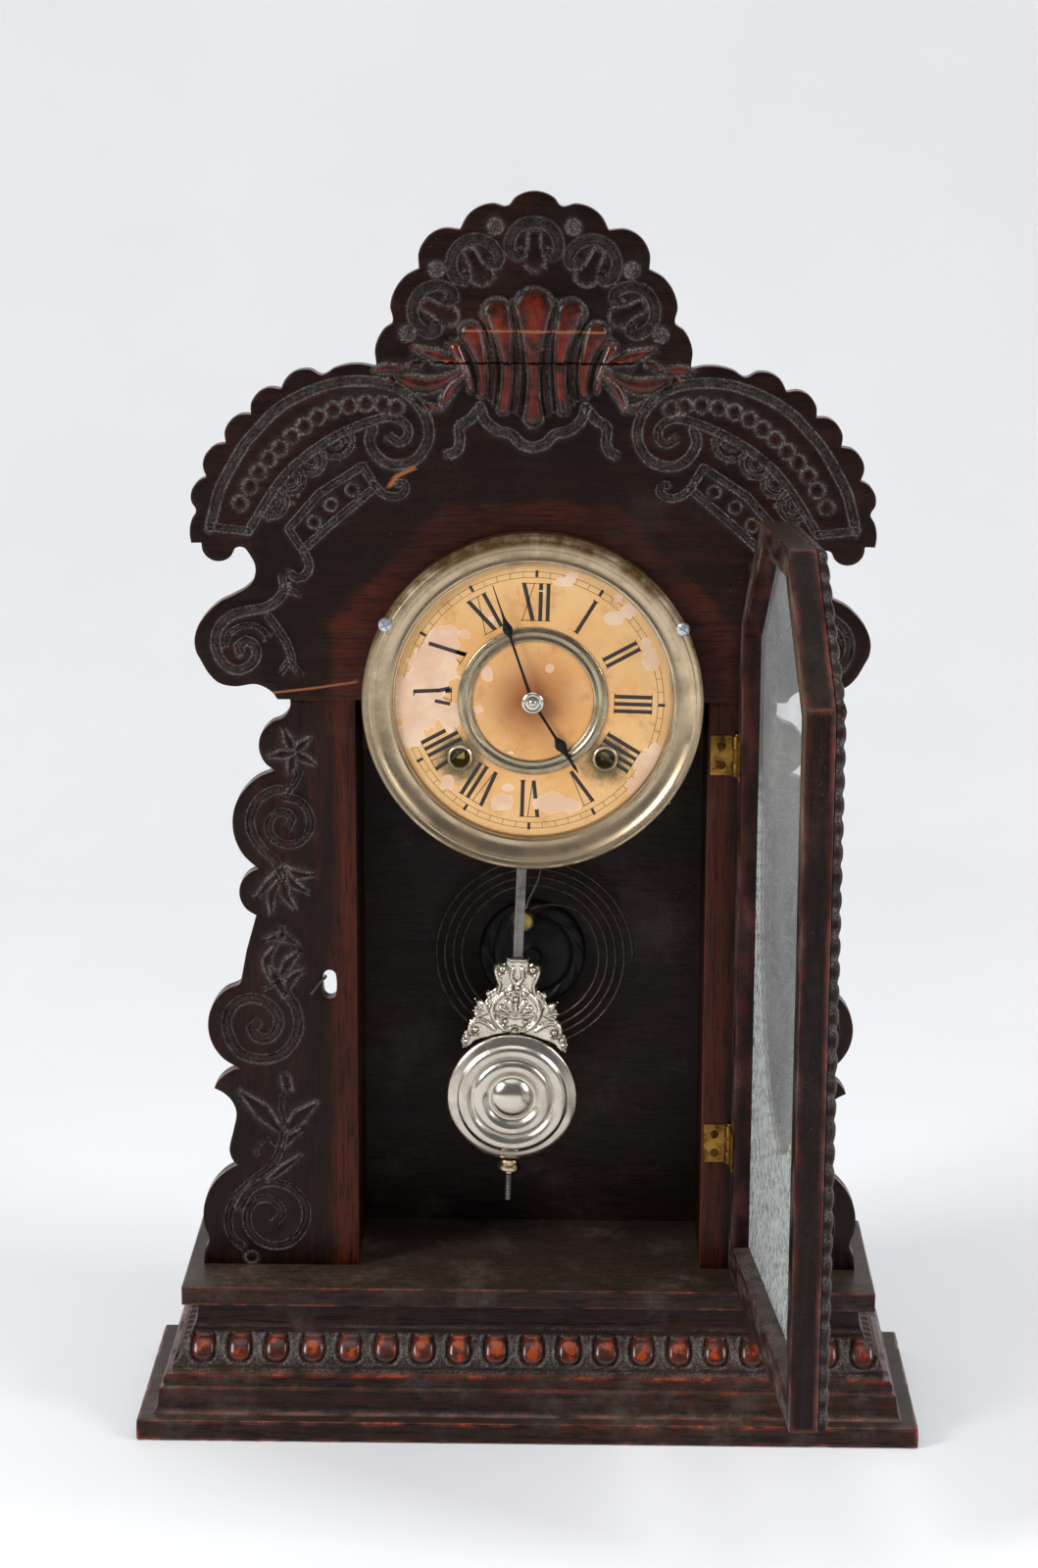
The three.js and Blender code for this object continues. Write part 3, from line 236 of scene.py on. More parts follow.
WOOD_DARK = srgb(23, 12, 9)
WOOD_WARM = srgb(50, 23, 14)
WOOD_PORE = srgb(9, 6, 5)
PROTECTED_WOOD = srgb(70, 27, 14)
BARE_WOOD = srgb(150, 92, 58)
WORN_RED = srgb(112, 30, 8)
WORN_ORANGE = srgb(150, 60, 18)
# The next grey is dust, and also painted highlights along carved edges and a painted sheen.
DUST_AND_HIGHLIGHT_GREY = srgb(112, 106, 102)
SETTLED_DUST = srgb(104, 92, 78)
GRAIN_SCALES = {"X": (9, 130, 130), "Y": (130, 9, 130), "Z": (130, 130, 9)}


def wood(name, grain="Z", dark=WOOD_DARK, warm=WOOD_WARM, warmth=0.5, rough=0.3, grime_and_sheen=0.06, settle=0.4):
    """Stained and varnished wood, worn red on its high spots and dusty in its grooves, with grey painted
    highlights along carved edges and a grey film that, where strong, paints a sheen.
    """
    g = Graph(name)
    line = g.noise(g.mapped(GRAIN_SCALES[grain]), 1.0, 6.0, 0.6, 0.4)
    pores = g.noise(g.mapped(tuple(7.0 * s for s in GRAIN_SCALES[grain])), 1.0, 2.0, 0.7)
    cloud = g.noise(g.coords, 14.0, 4.0, 0.6)
    fine = g.noise(g.coords, 900.0, 3.0, 0.7)
    broken = g.noise(g.coords, 160.0, 5.0, 0.65)
    wear, dust_and_highlight = g.attribute("wear"), g.attribute("dust_and_highlight")

    # the stain, the wood that a closed door protects, the pores and the worn spots
    warm_share = g.times(g.ramp(cloud, 0.35, 0.7), g.ramp(line, 0.3, 0.75))
    base = g.mix(g.times(warm_share, warmth * 2, clamp=True), dark, warm)
    strip = g.times(g.attribute("warm"), g.ramp(line, 0.32, 0.6, 0.3, 1.0), clamp=True)
    base = g.mix(strip, base, PROTECTED_WOOD)
    base = g.mix(g.ramp(pores, 0.46, 0.66, 0.0, 0.75), base, WOOD_PORE)
    worn = g.times(wear, g.ramp(broken, 0.38, 0.62, 0.12, 1.05), clamp=True)
    base = g.mix(worn, base, g.mix(g.ramp(worn, 0.6, 1.0), WORN_RED, WORN_ORANGE))

    # dust in grooves and painted highlights along carved edges, a film of grime that where strong also paints
    # a sheen, and specks, then the cracks and what settles on level faces
    speckle = g.ramp(g.noise(g.coords, 1300.0, 2.0, 0.6), 0.42, 0.62, 0.2, 1.5)
    grey = g.times(dust_and_highlight, g.ramp(broken, 0.34, 0.62, 0.35, 1.05), clamp=True)
    grey = g.times(grey, speckle, clamp=True)
    film_and_sheen = g.ramp(g.noise(g.coords, 30.0, 6.0, 0.7), 0.5, 0.8, 0.0, grime_and_sheen)
    specks = g.times(g.ramp(fine, 0.62, 0.72), g.ramp(cloud, 0.35, 0.7, 0.1, 0.5))
    grey = g.larger(grey, g.larger(film_and_sheen, specks), clamp=True)
    base = g.mix(grey, base, DUST_AND_HIGHLIGHT_GREY)
    base = g.mix(g.attribute("bare"), base, BARE_WOOD)
    up = g.separate(g.node("NewGeometry").outputs["Normal"])[2]
    patchy = g.ramp(g.noise(g.coords, 26.0, 9.0, 0.78), 0.5, 0.78)
    patchy = g.plus(patchy, g.ramp(fine, 0.5, 0.75, 0.12, 0.4))
    settled = g.times(g.times(g.ramp(up, 0.7, 0.95), patchy), settle)
    base = g.mix(settled, base, SETTLED_DUST)

    gloss = g.ramp(line, 0.2, 0.8, rough - 0.05, rough + 0.1)
    gloss = g.math("SUBTRACT", gloss, g.ramp(wear, 0.1, 0.6, 0.0, 0.14))
    gloss = g.plus(gloss, g.times(grey, 0.35), clamp=True)
    relief = g.plus(g.times(line, 0.5), g.times(pores, 0.3))
    relief = g.plus(relief, g.times(g.times(fine, dust_and_highlight), 1.2))
    g.specular(g.ramp(wear, 0.1, 0.6, 0.13, 0.45))
    g.set(base_color=base, roughness=gloss, normal=g.bump(relief, 0.35, 0.00035))
    return g.material


def metal(name, tone, stain, rough=0.3, stained=0.4, scale=60.0, metallic=1.0, brushed=0.0, dents=0.25):
    """Plated or plain metal with stains, fine scratches and uneven gloss."""
    g = Graph(name)
    blot = g.noise(g.coords, scale, 6.0, 0.65)
    fine = g.noise(g.coords, scale * 14, 3.0, 0.6)
    share = g.times(g.ramp(blot, 0.42, 0.72), stained)
    share = g.larger(share, g.times(g.attribute("rust"), g.ramp(blot, 0.3, 0.6)), clamp=True)
    gloss = g.plus(g.ramp(blot, 0.3, 0.75, rough * 0.8, rough * 1.4), g.times(share, 0.25), clamp=True)
    relief = g.plus(g.times(fine, 0.4), g.times(share, 0.6))
    if brushed:
        relief = g.plus(relief, g.times(g.noise(g.mapped((900, 60, 60)), 1.0, 2.0), brushed))
    g.set(base_color=g.mix(share, tone, stain), metallic=metallic, roughness=gloss,
          normal=g.bump(relief, dents, 0.00012))
    return g.material


PAPER_INNER, PAPER_OUTER, PAPER_PALE = srgb(218, 160, 96), srgb(218, 172, 112), srgb(230, 188, 134)
PAPER_MIDDLE, PAPER_STAIN, PAPER_SPOT = srgb(146, 76, 26), srgb(176, 120, 60), srgb(120, 76, 44)
PAPER_OILED, PAPER_TORN = srgb(84, 76, 50), srgb(242, 218, 190)
UNDER_PAPER = (srgb(216, 176, 146), srgb(228, 196, 168))


def dial_paper():
    """Yellowed paper: brown round the centre, oily round the winding holes, worn to a paler layer."""
    g = Graph("dial_paper")
    place = g.separate(g.coords)
    dx, dz = (g.math("SUBTRACT", place[axis], float(DIAL[axis] * MM)) for axis in (0, 2))
    radius = g.math("SQRT", g.squares(dx, dz))
    cloud = g.noise(g.coords, 45.0, 5.0, 0.6)
    fibre = g.noise(g.coords, 700.0, 4.0, 0.7)
    base = g.mix(g.ramp(radius, 0.03, 0.058), PAPER_INNER, PAPER_OUTER)
    base = g.mix(g.ramp(cloud, 0.35, 0.65, 0.0, 0.5), base, PAPER_PALE)
    middle = g.times(g.ramp(radius, 0.0, 0.029, 1.0, 0.0), g.ramp(cloud, 0.2, 0.6, 0.6, 1.0))
    base = g.mix(middle, base, PAPER_MIDDLE)
    base = g.mix(g.ramp(g.noise(g.coords, 70.0, 7.0, 0.75), 0.5, 0.72, 0.0, 0.7), base, PAPER_STAIN)
    for side in (-1, 1):
        across = g.math("SUBTRACT", dx, side * WINDING_X * MM)
        along = g.math("SUBTRACT", dz, WINDING_Z * MM)
        away = g.math("SQRT", g.squares(across, along))
        away = g.plus(away, g.times(g.noise(g.coords, 260.0, 6.0, 0.7), 0.012))
        base = g.mix(g.ramp(away, 0.0115, 0.0205, 0.95, 0.0), base, PAPER_OILED)
    bare_field = g.plus(g.attribute("bare"), g.times(g.noise(g.coords, 240.0, 5.0, 0.6), 0.55))
    bare = g.ramp(bare_field, 0.74, 0.78)
    rim = g.times(g.ramp(bare_field, 0.70, 0.74), g.ramp(bare_field, 0.78, 0.84, 1.0, 0.0))
    base = g.mix(bare, base, g.mix(g.ramp(cloud, 0.4, 0.6), *UNDER_PAPER))
    base = g.mix(g.times(rim, 0.5), base, PAPER_TORN)
    spots = g.ramp(g.noise(g.coords, 500.0, 3.0, 0.6), 0.70, 0.76, 0.0, 0.5)
    relief = g.math("SUBTRACT", g.times(fibre, 0.3), g.times(bare, 0.6))
    g.set(base_color=g.mix(spots, base, PAPER_SPOT), roughness=g.ramp(fibre, 0.3, 0.7, 0.55, 0.75),
          normal=g.bump(relief, 0.3, 0.0002))
    return g.material


def plain(name, tone, rough=0.5, vary=0.3, scale=200.0, metallic=0.0):
    """A coating with slight shifts of tone and gloss."""
    g = Graph(name)
    blot = g.noise(g.coords, scale, 5.0, 0.6)
    lighter = tuple(min(1.0, c * (1 + vary) + 0.004) for c in tone)
    g.set(base_color=g.mix(g.ramp(blot, 0.35, 0.7), tone, lighter), metallic=metallic,
          roughness=g.ramp(blot, 0.3, 0.7, rough * 0.85, rough * 1.15), normal=g.bump(blot, 0.15, 0.0001))
    return g.material


OVAL_Y, OVAL_Z = 0.0949, 0.285  # the clear oval's middle, in front of the origin and above the floor
OVAL_HALF_WIDTH, OVAL_HALF_HEIGHT = 0.068, 0.125


def door_glass():
    """Old sheet glass, its lower part printed with frosted leaves round a clear oval, and a hazy film that
    whitens it towards grazing angles as a painted reflection.
    """
    g = Graph("door_glass")
    y, z = (g.separate(g.coords)[axis] for axis in (1, 2))
    across = g.math("DIVIDE", g.plus(y, OVAL_Y), OVAL_HALF_WIDTH)
    rise = g.math("DIVIDE", g.math("SUBTRACT", z, OVAL_Z), OVAL_HALF_HEIGHT)
    veins = g.node("TexWave", vector=g.mapped((1, 90, 36)), scale=3.0, distortion=14.0).outputs["Fac"]
    cells = g.node("TexVoronoi")
    cells.feature = "DISTANCE_TO_EDGE"
    g.fill(cells, {"vector": g.mapped((1, 70, 40)), "scale": 1.0})
    leaves = g.ramp(cells.outputs["Distance"], 0.03, 0.12)
    figure = g.larger(g.ramp(veins, 0.35, 0.6, 0.35, 1.0), g.times(leaves, 0.5))
    printed = g.times(g.ramp(g.squares(across, rise), 0.97, 1.03), g.ramp(z, 0.33, 0.28), clamp=True)
    printed = g.times(printed, figure, clamp=True)
    haze = g.noise(g.coords, 25.0, 5.0, 0.6)
    cloud = g.noise(g.coords, 300.0, 4.0, 0.6)
    solid = g.times(printed, g.ramp(cloud, 0.25, 0.55, 0.6, 1.0), clamp=True)
    facing = g.node("LayerWeight").outputs["Facing"]
    # The haze grows towards grazing angles: a painted reflection in the glass's colour and opacity.
    film_and_sheen = g.times(g.ramp(haze, 0.3, 0.75, 0.6, 1.0), g.ramp(facing, 0.25, 0.9, 0.07, 0.38))
    solid = g.larger(g.times(solid, 0.85), film_and_sheen)
    g.set(base_color=g.mix(solid, srgb(206, 212, 214), srgb(196, 200, 196)), alpha=solid,
          roughness=g.ramp(solid, 0.2, 0.9, 0.05, 0.6), normal=g.bump(haze, 0.1, 0.0004))
    g.shader.inputs["IOR"].default_value = 1.5
    return g.material


# The base's lighter, greyer tone and its heavy grey film partly paint the sheen on its lit faces.
BASE_WOOD_WITH_SHEEN = {"dark": srgb(42, 30, 26), "warm": srgb(62, 36, 26), "rough": 0.33, "grime_and_sheen": 0.42}

LOOKS = {
    "board": wood("carved_board"),
    "board_across": wood("carved_board_across", "X"),
    "base": wood("base_wood", "X", settle=0.85, **BASE_WOOD_WITH_SHEEN),
    "base_side": wood("base_side_wood", "Y", **BASE_WOOD_WITH_SHEEN),
    "case": wood("case_wood", "Z", srgb(28, 11, 7), srgb(48, 17, 9), 0.6, grime_and_sheen=0.02),
    "inner": wood("inner_wood", "X", srgb(35, 25, 22), srgb(54, 32, 22), rough=0.4, grime_and_sheen=0.26),
    "bare": wood("bare_wood", "Z", srgb(70, 48, 34), srgb(104, 74, 50), rough=0.7, grime_and_sheen=0.4),
    "door": wood("door_wood", "Z", srgb(22, 12, 9), srgb(46, 22, 13), grime_and_sheen=0.08, settle=0.7),
    "bead": wood("bead_wood", "Z", grime_and_sheen=0.2),
    "nickel": metal("aged_nickel", srgb(194, 174, 144), srgb(84, 60, 34), 0.24, 0.5, 45.0, dents=0.1),
    "bright": metal("bright_nickel", srgb(208, 200, 188), srgb(150, 132, 106), 0.2, 0.35, 60.0, dents=0.03),
    "ring": metal("dull_ring", srgb(168, 154, 128), srgb(112, 92, 60), 0.24, 0.6, 120.0, dents=0.04),
    "zinc": metal("zinc_screw", srgb(196, 202, 208), srgb(120, 118, 112), 0.3, 0.3, 300.0, 0.85, dents=0.1),
    "cast": metal("cast_nickel", srgb(214, 205, 190), srgb(70, 58, 44), 0.2, 0.3, 160.0, dents=0.12),
    "brass": metal("dark_brass", srgb(150, 112, 52), srgb(58, 40, 20), 0.42, 0.9, 170.0),
    "lamp_brass": metal("hammer_brass", srgb(206, 182, 96), srgb(120, 96, 50), 0.35, 0.4, 200.0, 0.6),
    "steel": metal("dull_steel", srgb(128, 126, 122), srgb(86, 70, 54), 0.38, 0.5, 130.0, brushed=0.5),
    "wire": metal("spring_steel", srgb(88, 78, 70), srgb(58, 44, 36), 0.45, 0.6, 300.0),
    "iron": metal("black_iron", srgb(26, 25, 25), srgb(58, 46, 40), 0.5, 0.4, 120.0, metallic=0.6),
    "screw": metal("dark_screw", srgb(84, 58, 32), srgb(40, 26, 16), 0.45, 0.7, 300.0),
    "ink": plain("printed_ink", srgb(34, 27, 24), 0.6, 0.6, 400.0),
    "hands": plain("blued_hands", srgb(20, 18, 20), 0.35, 0.8, 300.0, 0.7),
    "paper": dial_paper(),
    "glass": door_glass(),
}


# ---------- meshes ----------

def make(name, points, faces, look, body, replaces=(), smooth=35.0, attributes=None, fix=True):
    """A piece from points in millimetres and faces, riding on a body."""
    mesh = bpy.data.meshes.new(name)
    mesh.from_pydata((np.asarray(points, float) * MM).tolist(), [], faces)
    for key, values in (attributes or {}).items():
        layer = mesh.attributes.new(key, "FLOAT", "POINT")
        layer.data.foreach_set("value", np.asarray(values, np.float32))
    if fix:
        bm = bmesh.new()
        bm.from_mesh(mesh)
        bmesh.ops.remove_doubles(bm, verts=bm.verts, dist=1e-7)
        bmesh.ops.recalc_face_normals(bm, faces=bm.faces)
        bm.to_mesh(mesh)
        bm.free()
    mesh.shade_smooth()
    if smooth:
        mesh.set_sharp_from_angle(angle=math.radians(smooth))
    mesh.materials.append(LOOKS[look])
    obj = bpy.data.objects.new(name, mesh)
    SCENE.collection.objects.link(obj)
    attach(obj, body)
    if replaces:
        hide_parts(*replaces)
    return obj


def dress(node, look, bevel=0.0, segments=2, smooth=35.0):
    """A CAD node keeps its shape and gets a material and softened edges."""
    obj = frame["nodes"][node]
    obj.data.materials.clear()
    obj.data.materials.append(LOOKS[look])
    if bevel:
        weld = obj.modifiers.new("weld", "WELD")
        weld.merge_threshold = 1e-6
        soft = obj.modifiers.new("soft_edges", "BEVEL")
        soft.width = bevel * MM
        soft.segments = segments
        soft.limit_method = "ANGLE"
        soft.angle_limit = math.radians(30)
    obj.data.shade_smooth()
    obj.data.set_sharp_from_angle(angle=math.radians(smooth))


def ring_faces(rows, columns, joined=False):
    """Quads between rows of points that run round; the end rows are filled unless they are joined."""
    faces = []
    for i in range(rows if joined else rows - 1):
        here, there = i * columns, ((i + 1) % rows) * columns
        for j in range(columns):
            k = (j + 1) % columns
            faces.append((here + j, here + k, there + k, there + j))
    if not joined:
        faces += [tuple(range(columns)), tuple(range((rows - 1) * columns, rows * columns))]
    return faces


def lathe(profile, x, z, segments):
    """A profile of (radius, y) turned about an axis along Y; ends on the axis are closed."""
    angles = np.arange(segments) * TAU / segments
    points, rows = [], []
    for radius, y in profile:
        turns = angles if radius else angles[:1]
        rows.append(range(len(points), len(points) + len(turns)))
        points.extend((x + radius * math.cos(a), y, z + radius * math.sin(a)) for a in turns)
    faces = []
    for a, b in zip(rows, rows[1:]):
        for j in range(segments):
            k = (j + 1) % segments
            corners = (a[j % len(a)], a[k % len(a)], b[k % len(b)], b[j % len(b)])
            faces.append(tuple(dict.fromkeys(corners)))
    return points, faces


def turned(name, profile, x, z, look, nodes=(), body="case", segments=48, smooth=40.0):
    points, faces = lathe(profile, x, z, segments)
    make(name, points, faces, look, body, nodes, smooth)


def ripple(places):
    """The smooth noise at each place."""
    return np.array([noise.noise(Vector(p)) for p in places])


LONG_STRAIGHT = 15.0  # a longer stretch between two points stays straight


def smooth_path(points, step=0.8, closed=False, corner=60.0):
    """A path through the points, rounded between them except at sharp corners and on long straights."""
    p = np.asarray(points, float)
    n = len(p)
    count = n if closed else n - 1
    chords = [p[(i + 1) % n] - p[i] for i in range(count)]
    lengths = [float(np.linalg.norm(v)) for v in chords]

    def tangent(i):
        """The direction at a point, or None at a corner and at the ends."""
        if not closed and i in (0, n - 1):
            return None
        a, b = chords[i - 1] / lengths[i - 1], chords[i % count] / lengths[i % count]
        turn = math.degrees(math.acos(max(-1.0, min(1.0, float(a @ b)))))
        return None if turn > corner else (a + b) / np.linalg.norm(a + b)

    tangents = [tangent(i) for i in range(n)]
    out = []
    for i, (chord, length) in enumerate(zip(chords, lengths)):
        a, b = p[i], p[(i + 1) % n]
        ta, tb = (chord if way is None or length > LONG_STRAIGHT else way * length
                  for way in (tangents[i], tangents[(i + 1) % n]))
        steps = max(1, int(round(length / step)))
        for t in (k / steps for k in range(steps)):
            h00, h10 = 2 * t**3 - 3 * t**2 + 1, t**3 - 2 * t**2 + t
            h01, h11 = -2 * t**3 + 3 * t**2, t**3 - t**2
            out.append(h00 * a + h10 * ta + h01 * b + h11 * tb)
    if not closed:
        out.append(p[-1])
    return np.array(out)


SHORTEST_LOOP = 14.0  # a shorter edge in a board's face is left out


def outline_loops(node, y):
    """The closed edges, in X and Z, of the node's flat face at depth y."""
    mesh = frame["nodes"][node].data
    co = np.array([v.co for v in mesh.vertices]) / MM
    keys = {}
    ids = [keys.setdefault((round(c[0], 3), round(c[1], 3), round(c[2], 3)), len(keys)) for c in co]
    place = {i: co[k] for k, i in enumerate(ids)}
    edges = set()
    for poly in mesh.polygons:
        if all(abs(co[v][1] - y) < 0.01 for v in poly.vertices):
            ring = [ids[v] for v in poly.vertices]
            edges.update(zip(ring, ring[1:] + ring[:1]))
    border = {a: b for a, b in edges if (b, a) not in edges}
    loops = []
    while border:
        start, here = border.popitem()
        ring = [start]
        while here != start:
            ring.append(here)
            here = border.pop(here)
        loop = np.array([place[i][[0, 2]] for i in ring])
        if np.linalg.norm(np.diff(loop, axis=0, append=loop[:1]), axis=1).sum() > SHORTEST_LOOP:
            loops.append(loop)
    return sorted(loops, key=len, reverse=True)


def inside(points, loops):
    """Which points lie inside the loops, holes left out."""
    result = np.zeros(len(points), bool)
    x, z = points[:, 0], points[:, 1]
    for loop in loops:
        for (ax, az), (bx, bz) in zip(loop, np.roll(loop, -1, axis=0)):
            if az == bz:
                continue
            crossed = (z >= min(az, bz)) & (z < max(az, bz))
            if crossed.any():
                at = ax + (z[crossed] - az) * (bx - ax) / (bz - az)
                hit = np.zeros(len(points), bool)
                hit[np.flatnonzero(crossed)[x[crossed] < at]] = True
                result ^= hit
    return result


def nearest(points, path):
    """For each point its distance to the path and the place along it, and the path's length."""
    a, d = path[:-1], np.diff(path, axis=0)
    lengths = np.maximum(np.linalg.norm(d, axis=1), 1e-9)
    along = np.concatenate([[0], np.cumsum(lengths)])[:-1]
    best, where = np.zeros(len(points)), np.zeros(len(points))
    chunk = 4000
    for i in range(0, len(points), chunk):
        p = points[i:i + chunk, None, :]
        t = np.clip(((p - a) * d).sum(2) / lengths**2, 0, 1)
        off = p - (a + t[..., None] * d)
        dist = np.sqrt((off**2).sum(2))
        k = dist.argmin(1)
        rows = np.arange(len(k))
        best[i:i + chunk] = dist[rows, k]
        where[i:i + chunk] = along[k] + t[rows, k] * lengths[k]
    return best, where, float(lengths.sum())


def smoothstep(value, low, high):
    t = np.clip((value - low) / (high - low), 0, 1)
    return t * t * (3 - 2 * t)


BAND_ROWS = (0, 0.55, -0.55, 0.85, -0.85, 1.12, -1.12, 1.5, -1.5)  # in half widths
LEAF_ROWS = ((0.5, 0), (0.8, 0), (1.0, 0), (1.0, 0.5), (1.0, 1.0))  # in half widths and skirts
BOSS_ROWS = (0.5, 0.85, 1.1, 1.5)  # in radii
MARK_ROWS = (0, 0.9, -0.9, 1.8, -1.8)  # in widths


class Carving:
    """A height field of bands, bosses and leaves in X and Z, mirrored to the right when asked."""

    def __init__(self, mirror=True, rise=RISE, line_grey=1.0):
        self.mirror = mirror
        self.line_grey = line_grey  # how light the dust and the painted highlights along its bands' edges are
        self.rise = rise
        self.bands, self.leaves, self.bosses, self.marks = [], [], [], []

    def band(self, points, half=1.7, depth=0.75, corner=60.0):
        """A sunk band with a cord in it."""
        path = smooth_path(np.array(points) + (0, self.rise), 0.8, corner=corner)
        self.bands.append((path, half, depth, self.line_grey))

    def leaf(self, points, widths, height, skirt=2.0, base=0.0, polish=1.0):
        """A domed strip whose half widths are given at even steps along it."""
        path = smooth_path(np.array(points) + (0, self.rise), 0.8)
        marks = np.linspace(0, 1, len(widths))
        self.leaves.append((path, marks, np.array(widths), height, skirt, base, polish))

    def boss(self, x, z, radius, height=0.7, polish=0.0, grey=0.0):
        self.bosses.append((x, z + self.rise, radius, height, polish, grey))

    def mark(self, points, width):
        """A scratch or crack, with bare wood showing, on the drawn side as it stands."""
        self.marks.append((np.array(points, float), width))

    def seeds(self):
        """Points that the mesh needs along the carving's edges, on the drawn side."""
        found = [np.zeros((0, 2))]
        for path, half, _, _ in self.bands:
            found.extend(offsets(path, half * u) for u in BAND_ROWS)
        for path, marks, widths, _, skirt, _, _ in self.leaves:
            width = np.interp(np.linspace(0, 1, len(path)), marks, widths)
            found.append(path)
            for u, more in LEAF_ROWS:
                found.extend(offsets(path, side * (width * u + skirt * more)) for side in (1, -1))
        for x, z, radius, *_ in self.bosses:
            for ring in BOSS_ROWS:
                angles = np.linspace(0, TAU, max(10, int(radius * ring * 7)), endpoint=False)
                ways = np.stack([np.cos(angles), np.sin(angles)], 1)
                found.append(np.array((x, z)) + ring * radius * ways)
            found.append(np.array([[x, z]]))
        for points, width in self.marks:
            path = smooth_path(points, 0.6)
            found.extend(offsets(path, width * u) for u in MARK_ROWS)
        return np.vstack(found)

    def field(self, points):
        """Height, dust with painted edge highlights, and wear at each point."""
        if self.mirror:
            points = np.stack([-np.abs(points[:, 0]), points[:, 1]], 1)
        height, wear, skirt_dust_and_highlights = (np.zeros(len(points)) for _ in range(3))

        def around(path, reach):
            low, high = path.min(0) - reach, path.max(0) + reach
            return np.flatnonzero(((points >= low) & (points <= high)).all(1))

        for path, marks, widths, top, skirt, base, polish in self.leaves:
            near = around(path, widths.max() + skirt + 1)
            if not len(near):
                continue
            d, along, total = nearest(points[near], path)
            width = np.interp(along / total, marks, widths)
            u = d / np.maximum(width, 0.05)
            dome = top * np.sqrt(np.clip(1 - u**2, 0, 1))
            foot = base * (1 - smoothstep(d - width, 0.2, skirt))
            level = np.where(u < 1, base + dome, foot)
            higher = level > height[near]
            height[near] = np.where(higher, level, height[near])
            # The grey line along each leaf's foot is dust and a painted highlight on the leaf's edge.
            edge = np.exp(-((d - width - 0.25 * skirt) / (0.55 * skirt))**2)
            skirt_dust_and_highlights[near] = np.maximum(skirt_dust_and_highlights[near] * np.where(u < 0.8, 0.2, 1), np.where(u < 0.75, 0, edge))
            wear[near] = np.where((u < 0.85) & higher, polish * (1 - u**2), wear[near])
        dust_and_highlight = 0.8 * skirt_dust_and_highlights
        for path, half, depth, line_grey in self.bands:
            near = around(path, half * 1.6 + 1)
            if not len(near):
                continue
            d, along, _ = nearest(points[near], path)
            u = d / half
            cord = 0.85 * np.sqrt(np.clip(1 - (u / 0.72)**2, 0, 1))
            rope = 0.9 + 0.1 * np.sin(along * TAU / 1.7)
            level = 1.5 * depth * (-1 + cord * rope) * (1 - smoothstep(u, 0.82, 1.05))
            burr = 0.3 * np.exp(-((u - 1.18) / 0.2)**2)
            height[near] = np.where(u < 1.6, level + burr, height[near])
            # The grey peak at each band's edges is a painted highlight; the weaker grey inside the band is
            # dust.
            lines = 0.95 * np.exp(-((u - 0.98) / 0.26)**2) + 0.2 * (1 - smoothstep(u, 0.9, 1.2))
            dust_and_highlight[near] = np.maximum(dust_and_highlight[near], line_grey * lines)
            wear[near] *= smoothstep(u, 1.0, 1.4)
        for x, z, radius, top, polish, grey in self.bosses:
            u = np.hypot(points[:, 0] - x, points[:, 1] - z) / radius
            near = u < 1.7
            dome = top * np.sqrt(np.clip(1 - u**2, 0, 1)) - 0.35
            level = np.where(u < 1, dome, -0.45 * (1 - smoothstep(u, 1.1, 1.6)))
            height = np.where(near, level, height)
            line = 0.8 * np.exp(-((u - 1.15) / 0.22)**2)
            dust_and_highlight = np.where(near, np.maximum(dust_and_highlight * (u > 1.2), line), dust_and_highlight)
            dust_and_highlight = np.where(u < 1, np.maximum(dust_and_highlight, grey), dust_and_highlight)
            wear = np.where(u < 0.9, polish, wear)
        return height, dust_and_highlight, wear


def offsets(path, amount):
    """The path moved sideways by an amount, the same all along or one for each point."""
    tangent = np.gradient(path, axis=0)
    tangent /= np.maximum(np.linalg.norm(tangent, axis=1, keepdims=True), 1e-9)
    normal = np.stack([-tangent[:, 1], tangent[:, 0]], 1)
    amount = np.asarray(amount, float)
    return path + normal * (amount[:, None] if amount.ndim else amount)


SPACING = 0.45  # the cells of which each gives the mesh one point at most
RIM_WEAR = 0.35


def cell_of(point, size):
    return (int(math.floor(point[0] / size)), int(math.floor(point[1] / size)))


def thinned(points, taken):
    """The points whose cells weren't taken; their cells are taken from then on."""
    kept = []
    for p in points:
        key = cell_of(p, SPACING)
        if key not in taken:
            taken.add(key)
            kept.append(p)
    return kept


def grid(low, high, step):
    """Rows and columns of points from the low corner to the high one."""
    columns, rows = (np.arange(low[i], high[i], step) for i in (0, 1))
    return np.stack(np.meshgrid(columns, rows), -1).reshape(-1, 2)


def triangulated(points, edges, loops):
    """A mesh's points, its faces inside the loops, and which given points each point stands for."""
    found, _, faces, sources, _, _ = delaunay_2d_cdt([Vector(p) for p in points], edges, [], 0, 1e-5)
    found = np.array([tuple(p) for p in found])
    kept = inside(found[np.array(faces)].mean(1), loops)
    return found, [tuple(face) for face, keep in zip(faces, kept) if keep], sources


